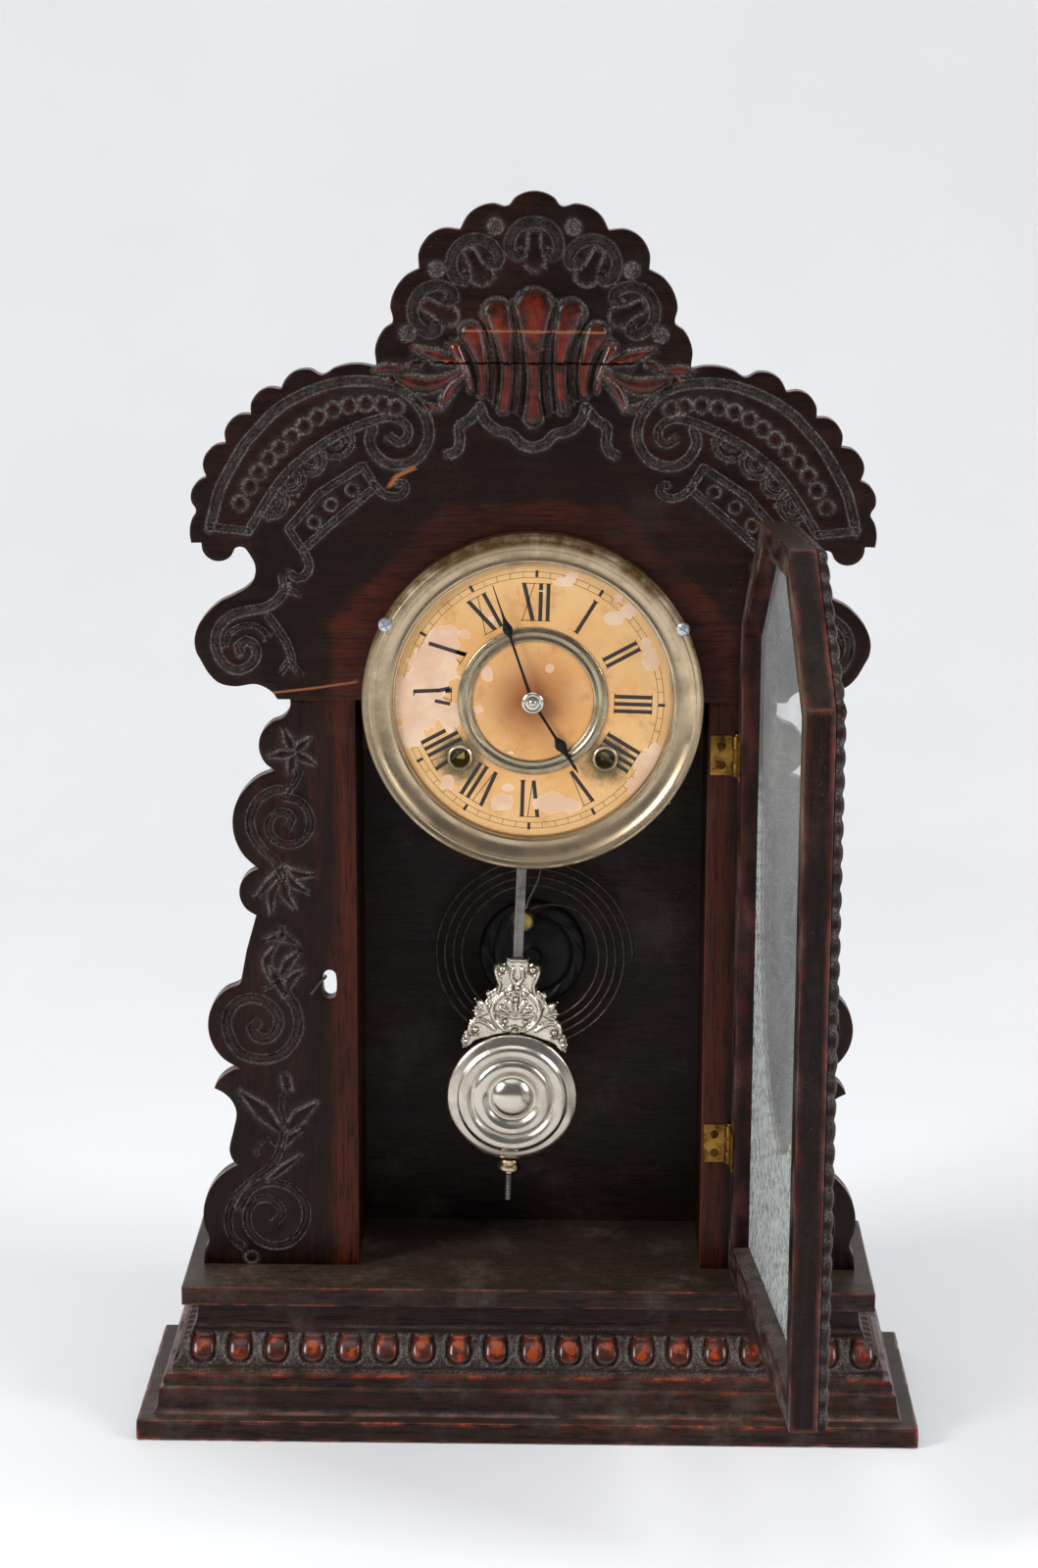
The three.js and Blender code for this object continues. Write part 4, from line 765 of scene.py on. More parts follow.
def relief_solid(loops, carving, front, back, fine=0.8, coarse=2.0, dense=(), rim=0.45):
    """A closed board: a carved face at depth front, the loops' walls and a flat back.

    A zone of dense, (low corner, high corner), gets points at the fine step. The edges lie rim deep.
    """
    chosen, edges, taken = [], [], set()
    for loop in loops:
        start, count = len(chosen), len(loop)
        chosen.extend(loop)
        edges.extend((start + i, start + (i + 1) % count) for i in range(count))
        thinned(loop, taken)
    rims = [offsets(np.vstack([loop, loop[:1]]), side * rim * 1.4)[:-1] for loop in loops for side in (1, -1)]
    seeds = carving.seeds()
    if carving.mirror:
        seeds = np.vstack([seeds, seeds * (-1, 1)])
    for group in [np.vstack(rims), seeds, *(grid(*zone, fine) for zone in dense)]:
        chosen.extend(thinned(group[inside(group, loops)], taken))
    covered = {cell_of(p, coarse) for p in chosen}
    rest = grid(loops[0].min(0), loops[0].max(0), coarse)
    chosen.extend(p for p in rest[inside(rest, loops)] if cell_of(p, coarse) not in covered)

    points, faces, sources = triangulated(chosen, edges, loops)
    height, dust_and_highlight, wear = carving.field(points)
    place = {source: i for i, given in enumerate(sources) for source in given}
    rings, start = [], 0
    for loop in loops:
        rings.append([place[start + i] for i in range(len(loop))])
        start += len(loop)
    edge_points = sorted({i for ring in rings for i in ring})
    height[edge_points] = -rim
    wear[edge_points] = RIM_WEAR

    solid = [(x, front - h, z) for (x, z), h in zip(points, height)]
    back_start = len(solid)
    for ring in rings:
        here = len(solid)
        solid.extend((points[i][0], back, points[i][1]) for i in ring)
        for j, i in enumerate(ring):
            k = (j + 1) % len(ring)
            faces.append((i, ring[k], here + k, here + j))
    _, flat, sources = triangulated([(x, z) for x, _, z in solid[back_start:]], edges, loops)
    faces.extend(tuple(back_start + sources[i][0] for i in face) for face in flat)
    plain_back = [0.0] * (len(solid) - back_start)
    return np.array(solid), faces, {"dust_and_highlight": [*dust_and_highlight, *plain_back], "wear": [*wear, *plain_back]}


# ---------- the carving of the front boards, drawn on the left half ----------

def head_carving():
    c = Carving()
    c.band([(-143.4, 411), (-139.6, 426), (-134.3, 436.7), (-126.4, 449.4), (-115.9, 461), (-105.4, 468.3),
            (-94.8, 473), (-84.3, 475.7), (-73.8, 476.2), (-65.4, 475.2), (-58, 472.5), (-51.7, 467.3),
            (-47.5, 461), (-45.9, 453.6), (-47.5, 447.3), (-51.7, 442), (-58, 439.4), (-64.3, 439.9),
            (-69.6, 444.1), (-72.2, 450.4), (-70.6, 455.7)], 1.9)
    c.band([(-126.4, 409.2), (-115.9, 426.2), (-107.5, 436.7), (-99, 444.1), (-89.6, 450.4), (-79, 455.7),
            (-70.6, 458.8), (-63.3, 460.4), (-58, 458.8), (-55, 454.6), (-56.4, 450.4), (-59, 449.2),
            (-62.7, 451.5)], 1.6)
    c.band([(-143.4, 411), (-126.4, 409.2)], 1.5)
    beads = [(-130.1, 421.7), (-125.7, 429.2), (-121.7, 435.7), (-117.2, 441.5), (-112.2, 446.4),
             (-106.9, 451.7), (-101.2, 456.2), (-95.2, 460.4), (-88.5, 463.6), (-81.5, 465.5),
             (-74.1, 466.4), (-66.6, 466.2), (-60.4, 464.9)]
    for x, z in beads:
        c.boss(x, z, 3.05, 1.2, 0.05)
    scallops = [(-119.6, 416.7), (-111.7, 427.8), (-103.3, 436.7), (-93.6, 445.2), (-81.2, 454.6)]
    for a, b in zip(np.array(scallops), np.array(scallops[1:])):
        for share, half in ((1.0, 1.0), (0.45, 0.7)):
            middle, chord = (a + b) / 2, (b - a) / 2 * share
            out = np.array([chord[1], -chord[0]]) * 0.95
            arc = [middle - chord * math.cos(t) + out * math.sin(t) for t in np.linspace(0, math.pi, 9)]
            c.band(arc, half, 0.5)
    c.band([(-108.5, 410.4), (-94.8, 426.2), (-75.4, 438.8), (-69.6, 429.5), (-89.6, 412.5), (-102.2, 401),
            (-108.5, 410.4)], 1.5, corner=30.0)
    for x, z in [(-97.2, 413.4), (-89.6, 421.3), (-80.1, 428.1)]:
        c.boss(x, z, 2.5, 0.5)
    c.band([(-70.6, 430.6), (-67, 427), (-62.6, 425.2), (-58.2, 426), (-56.2, 428.6), (-57.2, 431.2),
            (-59.6, 431)], 1.5)
    c.band([(-101.7, 400), (-99.5, 394.4), (-101.2, 389.6), (-104.8, 388), (-107.6, 390.2)], 1.6)
    # the scroll in the ear
    c.band([(-110, 384), (-112.6, 379.4), (-118.9, 375), (-126.7, 373.3), (-134.4, 371.1), (-139.4, 366.7),
            (-141.7, 361.1), (-141.1, 354.4), (-137.8, 348.9), (-132.2, 346.1), (-126.7, 348.3),
            (-123.6, 352.8), (-124.4, 357.8), (-128.3, 359.8), (-131.7, 357.2), (-130.6, 354.6)], 1.8)
    c.band([(-111.6, 388.4), (-110.8, 383), (-105, 381.6)], 1.4)
    c.band([(-137.6, 356.8), (-135.4, 362.6), (-130, 366.2), (-124, 366.4), (-120.4, 364.2),
            (-118.3, 361.7)], 1.1)
    c.band([(-117.6, 370.6), (-113.6, 364.8), (-110, 358.9), (-108.3, 354.4), (-107.4, 349)], 1.5)
    c.band([(-112.6, 345.6), (-108.8, 350.6), (-104.2, 345)], 1.3)
    # the strap under the shell
    c.band([(-36.6, 444.2), (-33.4, 446), (-32.2, 450), (-32.4, 456.4), (-27.6, 459.8), (-23.2, 465.2)], 1.9)
    c.band([(-23.2, 465.2), (-21.2, 459.6), (-15.6, 454.8), (-9.6, 453.2), (-5.2, 449), (0, 447.2)], 1.9)
    return c


def shell_carving():
    """The shell and its leaves, which run over the joint between the crest and the head board."""
    c = Carving()
    ribs = [
        ([(0, 461), (0, 471), (0, 484), (0, 497), (0, 503), (0, 508.8)], [4.2, 2.6, 2.3, 3.8, 7.0, 8.7]),
        ([(-13.2, 464.5), (-11.8, 474), (-11.5, 484), (-13.6, 497), (-16.2, 506.2)],
         [2.6, 2.3, 2.5, 4.2, 6.7]),
        ([(-22.4, 471.2), (-22, 477.7), (-22.8, 484), (-24.8, 491), (-27.6, 497.4)],
         [2.1, 2.2, 2.7, 4.0, 5.5]),
        ([(-27.6, 473), (-29.4, 481), (-34.4, 491.2)], [1.3, 1.8, 3.0]),
    ]
    for path, widths in ribs:
        c.leaf(path, widths, 2.9, 1.0, 1.2, 0.68)
    beads = [
        [(-6.6, 462.7), (-5.6, 471.2), (-4.8, 484.2), (-5.4, 494.6), (-7.2, 503.6), (-9.6, 511.4)],
        [(-9, 464), (-8.2, 474), (-7.7, 484.2), (-8.2, 494.6), (-9.4, 502)],
        [(-17.2, 467.3), (-16.3, 479), (-16.8, 489.4), (-18.6, 497.2), (-20.8, 505.4)],
        [(-19.2, 468.8), (-18.5, 477), (-18.9, 484.2), (-20, 491), (-22, 498)],
    ]
    for path in beads:
        c.leaf(path, [0.8, 1.0, 1.0, 0.8], 1.2, 0.7, 0.9, 0.1)
    c.leaf([(-52.6, 491), (-43, 487.4), (-32.4, 484.4)], [0.5, 3.0, 0.9], 2.2, 1.6, 0.4)
    c.leaf([(-29.6, 479.6), (-35, 475), (-39, 468.6), (-40.4, 464.6)], [1.4, 2.6, 2.2, 0.8],
           1.9, 1.4, 0.5, 0.6)
    c.leaf([(-31.6, 481), (-38, 477.4), (-46, 474.6), (-53.4, 475.6), (-59.6, 478.4)],
           [1.0, 2.0, 3.2, 3.6, 1.4], 2.3, 1.5, 0.5, 0.5)
    c.leaf([(-58.4, 481.4), (-64, 482), (-69.4, 481)], [1.2, 2.0, 1.0], 1.7, 1.3, 0.3, 0.5)
    c.leaf([(-41.4, 464.6), (-47.4, 465.4), (-53.6, 469.6)], [0.8, 1.7, 0.9], 1.5, 1.3, 0.3, 0.6)
    c.leaf([(-50.4, 484.4), (-54.6, 482.4)], [1.4, 1.5], 1.4, 1.2, 0.2, 0.4)
    c.boss(-63, 476.8, 1.7, 1.2, 0.3)
    return c


def crest_carving():
    c = Carving(line_grey=0.6)

    def scroll(x, z, turn, whole=False):
        """A scroll like a bent horn, or its left half, with a flared stem, turned about its centre."""
        cos, sin = 0.93 * math.cos(turn), 0.93 * math.sin(turn)

        def at(points):
            return [(x + u * cos - v * sin, z + u * sin + v * cos) for u, v in points]

        left = [(-6.3, -5.2), (-8.7, -6.6), (-11, -4.6), (-11.4, -0.4), (-9.6, 4.4), (-5.4, 8), (0, 9.2)]
        right = [(-u, v) for u, v in reversed(left[:-1])]
        c.band(at(left + right if whole else left), 2.1, 0.7)
        c.leaf(at([(0, 3.4), (0, -3), (0, -7.6)]), [2.6, 2.7, 4.8], 0.9, 1.2, 0.0, 0.0)

    scroll(0, 537.3, 0.0)
    scroll(-26.3, 529.4, math.radians(27), whole=True)
    scroll(-44.2, 508.3, math.radians(62), whole=True)
    for x, z in [(-17, 543.8), (-42.7, 525.2), (-55.5, 497.1)]:
        c.boss(x, z, 2.9, 0.6, 0.0, 0.55)
    return c


def fret_carving():
    c = Carving(line_grey=0.65)

    def blade(points, widths, height=1.0, skirt=1.3):
        """A leaf without a foot or polish."""
        c.leaf(points, widths, height, skirt, 0.0, 0.0)

    # star flower and its stem
    flower = np.array((-107.6, 308.6))
    for tip in [(-111.6, 319.2), (-100.1, 315.4), (-97.9, 303.4), (-109.4, 298.2), (-118.1, 306.9)]:
        blade([flower, 0.45 * flower + 0.55 * np.array(tip), tip], [0.8, 1.9, 0.3], 0.9, 1.2)
    c.band([(-104.2, 301), (-106.2, 296), (-110, 289.6)], 1.3)
    c.band([(-110, 291.2), (-117, 290.6), (-122.8, 287), (-126.6, 281), (-127.4, 274.6), (-125.4, 268.4),
            (-121, 262.4), (-115.6, 257.2), (-112.4, 250)], 1.8)
    c.band([(-111.1, 287.8), (-104.4, 285.6), (-100.2, 278.9), (-101.1, 271.1), (-106.7, 266.1),
            (-113.3, 266.1), (-118.3, 270.6), (-118.9, 275.6), (-115.6, 280), (-111.1, 280.6),
            (-108.3, 277.8), (-109.9, 274.4)], 1.6)
    root = (-112.6, 255)
    for x, z, width in [(-99.4, 251.7, 1.8), (-102.4, 244, 2.0), (-107.6, 235.6, 2.2), (-118.4, 233.4, 2.2),
                        (-124.6, 241.4, 1.8)]:
        bend = (0.5 * (root[0] + x) + 0.12 * (z - root[1]), 0.5 * (root[1] + z) - 1.5)
        blade([root, bend, (x, z)], [0.8, width, 0.4], 1.1)
    # leaves above the lower scroll
    blade([(-120.4, 221), (-114, 222.4), (-107.4, 219.4)], [0.4, 2.4, 0.4])
    blade([(-113.4, 227.4), (-113.6, 223)], [0.4, 1.6], 0.9, 1.0)
    for leaf in [[(-117, 217.6), (-120.6, 211), (-118.6, 202)],
                 [(-106.2, 215), (-110.6, 210.6), (-114.4, 204)],
                 [(-104, 206.4), (-109.4, 202.6), (-112.4, 194.8)],
                 [(-118.8, 208), (-116, 201.6), (-112.6, 194.4)]]:
        blade(leaf, [0.4, 2.1, 0.8], 1.1)
    c.band([(-116.4, 203), (-119.2, 198.6), (-122.4, 197.2)], 1.0, 0.5)
    c.band([(-111.2, 194.4), (-107.6, 188), (-106.3, 179.8), (-108.9, 172), (-114.4, 165.9), (-123.3, 163.4),
            (-133.3, 166.4), (-138.3, 174.2), (-139.4, 182), (-136.1, 189.2), (-128.9, 192.6),
            (-121.1, 190.9), (-116.1, 185.3), (-116.1, 178.7), (-120, 173.7), (-125.6, 174.2),
            (-128.2, 178.1), (-125.4, 180.6)], 2.0)
    # the sprig at the foot
    blade([(-112.6, 154.4), (-112, 150.4)], [1.8, 2.0], 1.0, 1.2)
    c.band([(-114, 148), (-114.6, 140), (-112.8, 130)], 1.0, 0.5)
    blade([(-133.4, 147.6), (-125, 139.6), (-115, 128.6)], [0.5, 3.6, 0.8])
    blade([(-99, 142.6), (-105.4, 137), (-113.4, 129)], [0.5, 3.2, 0.8])
    blade([(-106, 129.4), (-110.4, 126), (-114, 121)], [0.4, 1.4, 0.6], 0.8, 1.1)
    c.band([(-116.4, 121.6), (-121.6, 124.6), (-126.6, 121.8), (-126.2, 117.6)], 1.1, 0.5)
    c.band([(-113.4, 128), (-115.4, 120), (-119.6, 112), (-128.4, 104.4), (-136.6, 95.8), (-140.2, 85.6),
            (-138.8, 77), (-133.8, 71.6)], 1.6)
    blade([(-107, 116.6), (-114, 111), (-121.8, 104.6)], [0.4, 1.5, 0.6], 0.8, 1.1)
    c.band([(-134.8, 91), (-130, 99), (-122.2, 103.2), (-112.2, 101.6), (-105.6, 95.3), (-103.7, 87.6),
            (-106.7, 78.7), (-113.3, 73.1), (-121.1, 72.6), (-128.9, 77.6), (-131.6, 85.3), (-129.8, 91.6),
            (-125.2, 95.2), (-119.8, 94.8), (-116, 91.2), (-115.4, 87), (-118, 84.4)], 1.7)
    c.boss(-129.6, 66.8, 2.7, 0.4)
    return c


def combined(*carvings):
    whole = Carving()
    for c in carvings:
        whole.bands += c.bands
        whole.leaves += c.leaves
        whole.bosses += c.bosses
    return whole


SHELL_ZONE = ((-34, 461), (34, 524))  # where the shell's fine ribs need more points


def board(node, carving, look, dense=()):
    low, high = corner_boxes(node)
    loops = [smooth_path(loop, 0.8, closed=True) for loop in outline_loops(node, low[1])]
    points, faces, attributes = relief_solid(loops, carving, low[1], high[1], dense=dense)
    attributes["warm"] = protected(points)
    if carving.marks:
        attributes["bare"] = bared(points, carving.marks)
    make(node + "_carved", points, faces, look, "case", [node], 40.0, attributes)


def protected(points):
    """How much of the warmer wood shows at each point: the closed door covers it."""
    x, z = np.abs(points[:, 0]), points[:, 2]
    cut = np.minimum(HINGE[0] - x, (HINGE[0] + SHOULDER - x - z) / math.sqrt(2))
    cut = np.minimum(cut, SHOULDER + CORNER - z)
    ragged = ripple(points * (0.05, 0, 0.05) + (0, 3.1, 0))
    warm = smoothstep(cut + 3 * ragged, -1.0, 5.0) * (0.35 + 0.65 * smoothstep(x, 40, 84))
    above = smoothstep(cut, 0, 4) * smoothstep(z, 395, 420) * (ragged + 0.8)
    return np.clip(np.maximum(warm, 0.55 * above), 0, 1)


def bared(points, marks):
    """How far bare wood shows at each point, along scratches and cracks."""
    bare = np.zeros(len(points))
    for path, width in marks:
        away = nearest(points[:, [0, 2]], path)[0]
        bare = np.maximum(bare, 0.85 * (1 - smoothstep(away, width * 0.6, width * 1.6)))
    return bare


def front_boards():
    shell = shell_carving()
    head = combined(head_carving(), shell)
    crest = combined(crest_carving(), shell)
    fret = fret_carving()
    head.mark([(-63.2, 434.6), (-60.6, 438.4), (-52.7, 442.4)], 0.8)
    head.mark([(-116, 340.4), (-98, 342.6), (-80, 345.4)], 0.4)
    head.mark([(-31, 503), (31, 502.8)], 0.3)
    crest.marks = head.marks
    board("crest_board", crest, "board_across", [SHELL_ZONE])
    board("head_board", head, "board_across", [SHELL_ZONE])
    board("left_fret_board", fret, "board")
    board("right_fret_board", fret, "board")


front_boards()


# ---------- boards with rounded, worn edges ----------

EDGE_ROWS = (0, 0.3, 0.7, 1.0, 1.8, 3.5)  # rows of points beside an arris, in radii


def plank(node, look, radius, wear, step, ragged=0.12, chips=0.0):
    """A CAD box as a board with softened, uneven edges whose arrises are worn."""
    low, high = corner_boxes(node)
    axes = []
    for a in range(3):
        ends = [low[a] + m * radius for m in EDGE_ROWS if m * radius < 0.4 * (high[a] - low[a])]
        count = max(1, int((high[a] - low[a]) / step))
        inner = list(np.linspace(ends[-1], low[a] + high[a] - ends[-1], count + 1))[1:-1]
        axes.append(np.array(ends + inner + [low[a] + high[a] - e for e in reversed(ends)]))
    faces, index = [], {}
    for a in range(3):
        b, c = (a + 1) % 3, (a + 2) % 3
        for side in (0, len(axes[a]) - 1):
            for i in range(len(axes[b]) - 1):
                for j in range(len(axes[c]) - 1):
                    corners = []
                    for di, dj in ((0, 0), (1, 0), (1, 1), (0, 1)):
                        key = [0, 0, 0]
                        key[a], key[b], key[c] = side, i + di, j + dj
                        corners.append(index.setdefault(tuple(key), len(index)))
                    faces.append(corners)
    p = np.array([[axes[a][key[a]] for a in range(3)] for key in index])
    core = np.clip(p, low + radius, high - radius)
    off = p - core
    size = np.linalg.norm(off, axis=1, keepdims=True)
    rounded = core + off / np.maximum(size, 1e-9) * np.clip(size, 1e-9, radius)
    near = np.sort(np.minimum(p - low, high - p), axis=1)[:, 1]
    wave = np.array([noise.noise(Vector(q) * 0.11) for q in p])
    dent = ragged * (wave - 0.2) - chips * smoothstep(wave, 0.25, 0.5)
    rounded += (rounded - core) / radius * (np.exp(-(near / (1.6 * radius))**2) * dent)[:, None]
    worn = np.clip(wear * np.exp(-(near / (1.2 * radius))**2) * (0.7 + 1.6 * wave), 0, 1)
    make(node + "_worn", rounded, faces, look, "case", [node], 60.0, {"wear": worn})


# ---------- base ----------

MOULDING = [(12.8, 10), (10.9, 12), (10.2, 17.2), (9.6, 21.5), (7.7, 22.3), (8.1, 25), (7.1, 27.6),
            (4.1, 28), (3.8, 31.7), (2.9, 34.6), (0.9, 37.6), (-1.3, 40.3), (-3.6, 42), (-4.7, 45.1),
            (-6.4, 49.6), (-7, 54.5), (-7, 58.4)]  # (outward, height)
MOULDING_DEEP = -20.0
MOULDING_HALF, MOULDING_FRONT = 159.4, 29.4  # the lines that the outward sizes are taken from
EGG_PITCH, EGG_SHIFT, EGG_HEIGHT = 16.87, 2.3, 37.6
EGG_HALF, EGG_TOP = 5.2, 8.5
OGEE_MIDDLE = 40
WORN_LINES = [(10.6, 0.7, 0.8), (21.8, 0.6, 0.8), (27.4, 0.8, 1.1), (17.0, 1.6, 0.2)]
DUSTY_LINES = [(28.6, 0.8, 0.8), (31.6, 1.3, 0.45), (11.6, 0.9, 0.3), (22.9, 0.6, 0.35), (46.8, 0.6, 0.3)]


def egg_and_dart(x, z):
    """Height, wear, and dust with painted highlights on the raised rims, of the egg band at places along and
    up the front moulding.
    """
    dx = x - EGG_SHIFT - np.round((x - EGG_SHIFT) / EGG_PITCH) * EGG_PITCH
    dz = z - EGG_HEIGHT
    p = np.sqrt((dx / EGG_HALF)**2 + (np.where(dz > 0, dz / EGG_TOP, dz / EGG_HALF))**2)
    egg = 1.6 * np.sqrt(np.clip(1 - p**2, 0, 1))
    ditch = -0.9 * np.exp(-((p - 1.1) / 0.11)**2)
    rim = 1.1 * np.exp(-((p - 1.36) / 0.14)**2)
    dart_at = EGG_PITCH / 2 - np.abs(dx)
    dart = 0.6 * np.exp(-(dart_at / 0.7)**2) * (p > 1.4)
    shown = smoothstep(z, 30.4, 32.0) * (1 - smoothstep(z, 43.0, 44.4))
    middle = 0.55 + 0.45 * np.exp(-((x + 20) / 90)**2)
    wear = shown * middle * np.clip(1.15 - p, 0, 1) * 1.9
    # The grey on the raised egg rims and darts is partly dust and partly a painted highlight.
    dust_and_highlight = shown * (0.95 * np.exp(-((p - 1.36) / 0.17)**2) + 0.4 * np.exp(-(dart_at / 0.8)**2))
    return shown * (egg + ditch + rim + dart), wear, dust_and_highlight


def leaf_run(s, z):
    """The side mouldings' pressed leaf: a midrib with slanting veins on the ogee."""
    slant = np.sin((np.abs(z - OGEE_MIDDLE) * 0.9 + s) * TAU / 6.5)
    shown = np.clip(1 - ((z - OGEE_MIDDLE) / 7)**2, 0, 1)
    rib = np.exp(-(z - OGEE_MIDDLE)**2)
    wear = 0.35 * shown * np.clip(slant, 0, 1)
    dust_and_highlight = 0.7 * shown * np.clip(-slant, 0, 1)
    return shown * (0.7 * slant + rib), wear, dust_and_highlight


def lined(values, z, lines, level):
    """The values, raised along level lines of (height, width, amount)."""
    for line, width, amount in lines:
        values = np.maximum(values, amount * np.exp(-((z - line) / width)**2) * np.clip(level, 0, 1))
    return values


def moulding(node, side):
    """The front moulding for side 0, else the left (-1) or the right (1) one."""
    profile = smooth_path(MOULDING, 0.85, corner=38.0)
    profile = np.vstack([profile, [(MOULDING_DEEP, MOULDING[-1][1]), (MOULDING_DEEP, MOULDING[0][1])]])
    out, z = profile[:, 0], profile[:, 1]
    outward, upward = (offsets(profile, -1) - profile).T
    shown = np.ones(len(profile))
    shown[-3:] = 0
    widest = MOULDING[0][0]
    if side == 0:
        columns = np.arange(-MOULDING_HALF - widest, MOULDING_HALF + widest + 0.01, 0.9)
    else:
        back = corner_boxes(node)[1][1]
        columns = np.arange(-MOULDING_FRONT - widest, back + 0.01, 1.1)
        columns[-1] = back
    points, wear, dust_and_highlight = [], [], []
    for s in columns:
        if side == 0:
            run = np.clip(s, -MOULDING_HALF - out, MOULDING_HALF + out)
            height, w, d = egg_and_dart(run, z)
        else:
            run = np.maximum(s, -MOULDING_FRONT - out)
            height, w, d = leaf_run(run, z)
        ragged = ripple([(s * 0.09, level * 0.35, side * 9.0) for level in z])
        wear.extend(shown * lined(w, z, WORN_LINES, 0.7 + 1.3 * ragged))
        dust_and_highlight.extend(shown * lined(d, z, DUSTY_LINES, 0.8 + 1.2 * ragged))
        reach = out + shown * (height + 0.15 * ragged) * outward
        rise = z + shown * height * upward
        if side == 0:
            points.extend(zip(run, -(MOULDING_FRONT + reach), rise))
        else:
            points.extend(zip(side * (MOULDING_HALF + reach), run, rise))
    look = "base_side" if side else "base"
    faces = ring_faces(len(columns), len(profile))
    make(node + "_carved", points, faces, look, "case", [node], 40.0,
         {"wear": wear, "dust_and_highlight": dust_and_highlight})


for place, side in (("front", 0), ("left", -1), ("right", 1)):
    moulding(f"base_{place}_moulding", side)
plank("base_slab", "base", 1.1, 1.0, 3.0, ragged=0.35, chips=0.5)
plank("platform_board", "base", 0.6, 1.0, 3.0, ragged=0.2, chips=0.15)


# ---------- case ----------

for node in ("case_left_side", "case_right_side"):
    plank(node, "case", 0.5, 0.4, 12.0)
plank("case_top_board", "bare", 0.5, 0.0, 12.0)
plank("back_board", "inner", 0.4, 0.0, 12.0)
for node in ("lower_movement_rail", "upper_movement_rail"):
    plank(node, "bare", 0.5, 0.0, 12.0)


# ---------- door ----------

DOOR_OUTLINE = [(HINGE_GAP, DOOR_LOW), (HINGE_GAP, SHOULDER + HINGE_GAP), (CORNER, SHOULDER + CORNER),
                (DOOR_LENGTH - CORNER, SHOULDER + CORNER), (DOOR_LENGTH, SHOULDER), (DOOR_LENGTH, DOOR_LOW)]
STILE, BOTTOM_RAIL, DOOR_THICK = 12.0, 16.0, 12
LIP, LIP_BACK = 15, 9.5  # the edge in front of the glass
PANE_BACK, PANE_FRONT = 7.6, 9.2
BEAD_PITCH, BEAD_LOW, BEAD_MIDDLE, BEAD_HALF = 9.8, 12.3, 3.55, 3.25
BOTTOM = 5  # the last side of the outline


def inset(corners, widths):
    """The corners of an outline, each side moved in by its own width."""
    lines = []
    for i, a in enumerate(corners):
        b = corners[(i + 1) % len(corners)]
        length = math.dist(a, b)
        d = ((b[0] - a[0]) / length, (b[1] - a[1]) / length)
        lines.append((d, (a[0] + d[1] * widths[i], a[1] - d[0] * widths[i])))
    result = []
    for i, (d, at) in enumerate(lines):
        d0, at0 = lines[i - 1]
        cross = d0[0] * d[1] - d0[1] * d[0]
        gap = (at[0] - at0[0], at[1] - at0[1])
        along = (gap[0] * d[1] - gap[1] * d[0]) / cross
        result.append((at0[0] + along * d0[0], at0[1] + along * d0[1]))
    return result


def on_door(u, z, t):
    """A place on the open door: u from the hinge axis, t forward from the door's back."""
    cos, sin = math.cos(DOOR_OPEN), math.sin(DOOR_OPEN)
    return (HINGE[0] - u * cos + t * sin, HINGE[1] - u * sin - t * cos, z)


def frame_sweep(name, section, widths, nodes, look, step, lift, shade, smooth):
    """A closed cross-section of (inset, thickness) swept round the door's outline."""
    loops = [inset(DOOR_OUTLINE, widths(w)) for w, _ in section]
    points, attributes = [], {"wear": [], "dust_and_highlight": []}
    sides = len(DOOR_OUTLINE)
    travelled = 0.0
    for i in range(sides):
        k = (i + 1) % sides
        length = math.dist(DOOR_OUTLINE[i], DOOR_OUTLINE[k])
        count = max(2, int(length / step))
        for f in (c / count for c in range(count)):
            s = travelled + f * length
            end = min(f * length, (1 - f) * length)
            for loop, (w, t) in zip(loops, section):
                a, b = loop[i], loop[k]
                points.append(on_door(a[0] + f * (b[0] - a[0]), a[1] + f * (b[1] - a[1]), t + lift(s, w, t)))
                wear, dust_and_highlight = shade(s, w, t, end, i)
                attributes["wear"].append(wear)
                attributes["dust_and_highlight"].append(dust_and_highlight)
        travelled += length
    faces = ring_faces(len(points) // len(section), len(section), True)
    make(name, points, faces, look, "door", nodes, smooth, attributes)


def peak(distance, width):
    return math.exp(-(distance / width)**2)


def frame_shade(s, w, t, end, side):
    """Wear and dust of the door's frame."""
    ragged = noise.noise(Vector((s * 0.05, w * 0.4, t * 0.4)))
    front, back = peak(math.hypot(w, t - DOOR_THICK), 0.55), 0.5 * peak(math.hypot(w, t), 0.6)
    wear = max(front, back, 0.3 * peak(math.hypot(w - STILE, t), 0.8)) * (1.05 + 0.9 * ragged)
    if t < 0.01 or w > 11.5:
        wear = max(wear, 0.1 + 0.4 * ragged)
    if w < 0.01:
        wear = max(wear, 0.5 * peak(end, 0.8))
    dust_and_highlight = max(0.0, (0.8 if t < 0.01 else 0.06) * (ragged + 0.35))
    if side == BOTTOM and w > 11.5:
        dust_and_highlight = 0.55
    return min(max(wear, 0.0), 1.0), dust_and_highlight


def bead_lift(s, w, t):
    """How far the carved bead stands above its section: a row of beads with grooves between them."""
    if t <= BEAD_LOW + 0.01:
        return 0.0
    phase = (s % BEAD_PITCH) / BEAD_PITCH - 0.5
    bead = math.sqrt(max(0.0, 1 - (phase / 0.40)**2))
    groove = peak(abs(phase) - 0.46, 0.035)
    side = 1 - abs(w - BEAD_MIDDLE) / (BEAD_HALF + 0.6)
    return (bead - 0.75) * 1.3 * side + 0.5 * groove * side


def bead_shade(s, w, t, end, side):
    bead = max(0.0, 1 - (((s % BEAD_PITCH) / BEAD_PITCH - 0.5) / 0.3)**2)
    wear = 0.18 * bead if t > BEAD_LOW + 2 else 0.0
    return wear, 0.45 * (1 - bead) * (0.4 if t > BEAD_LOW + 3.6 else 1.0)


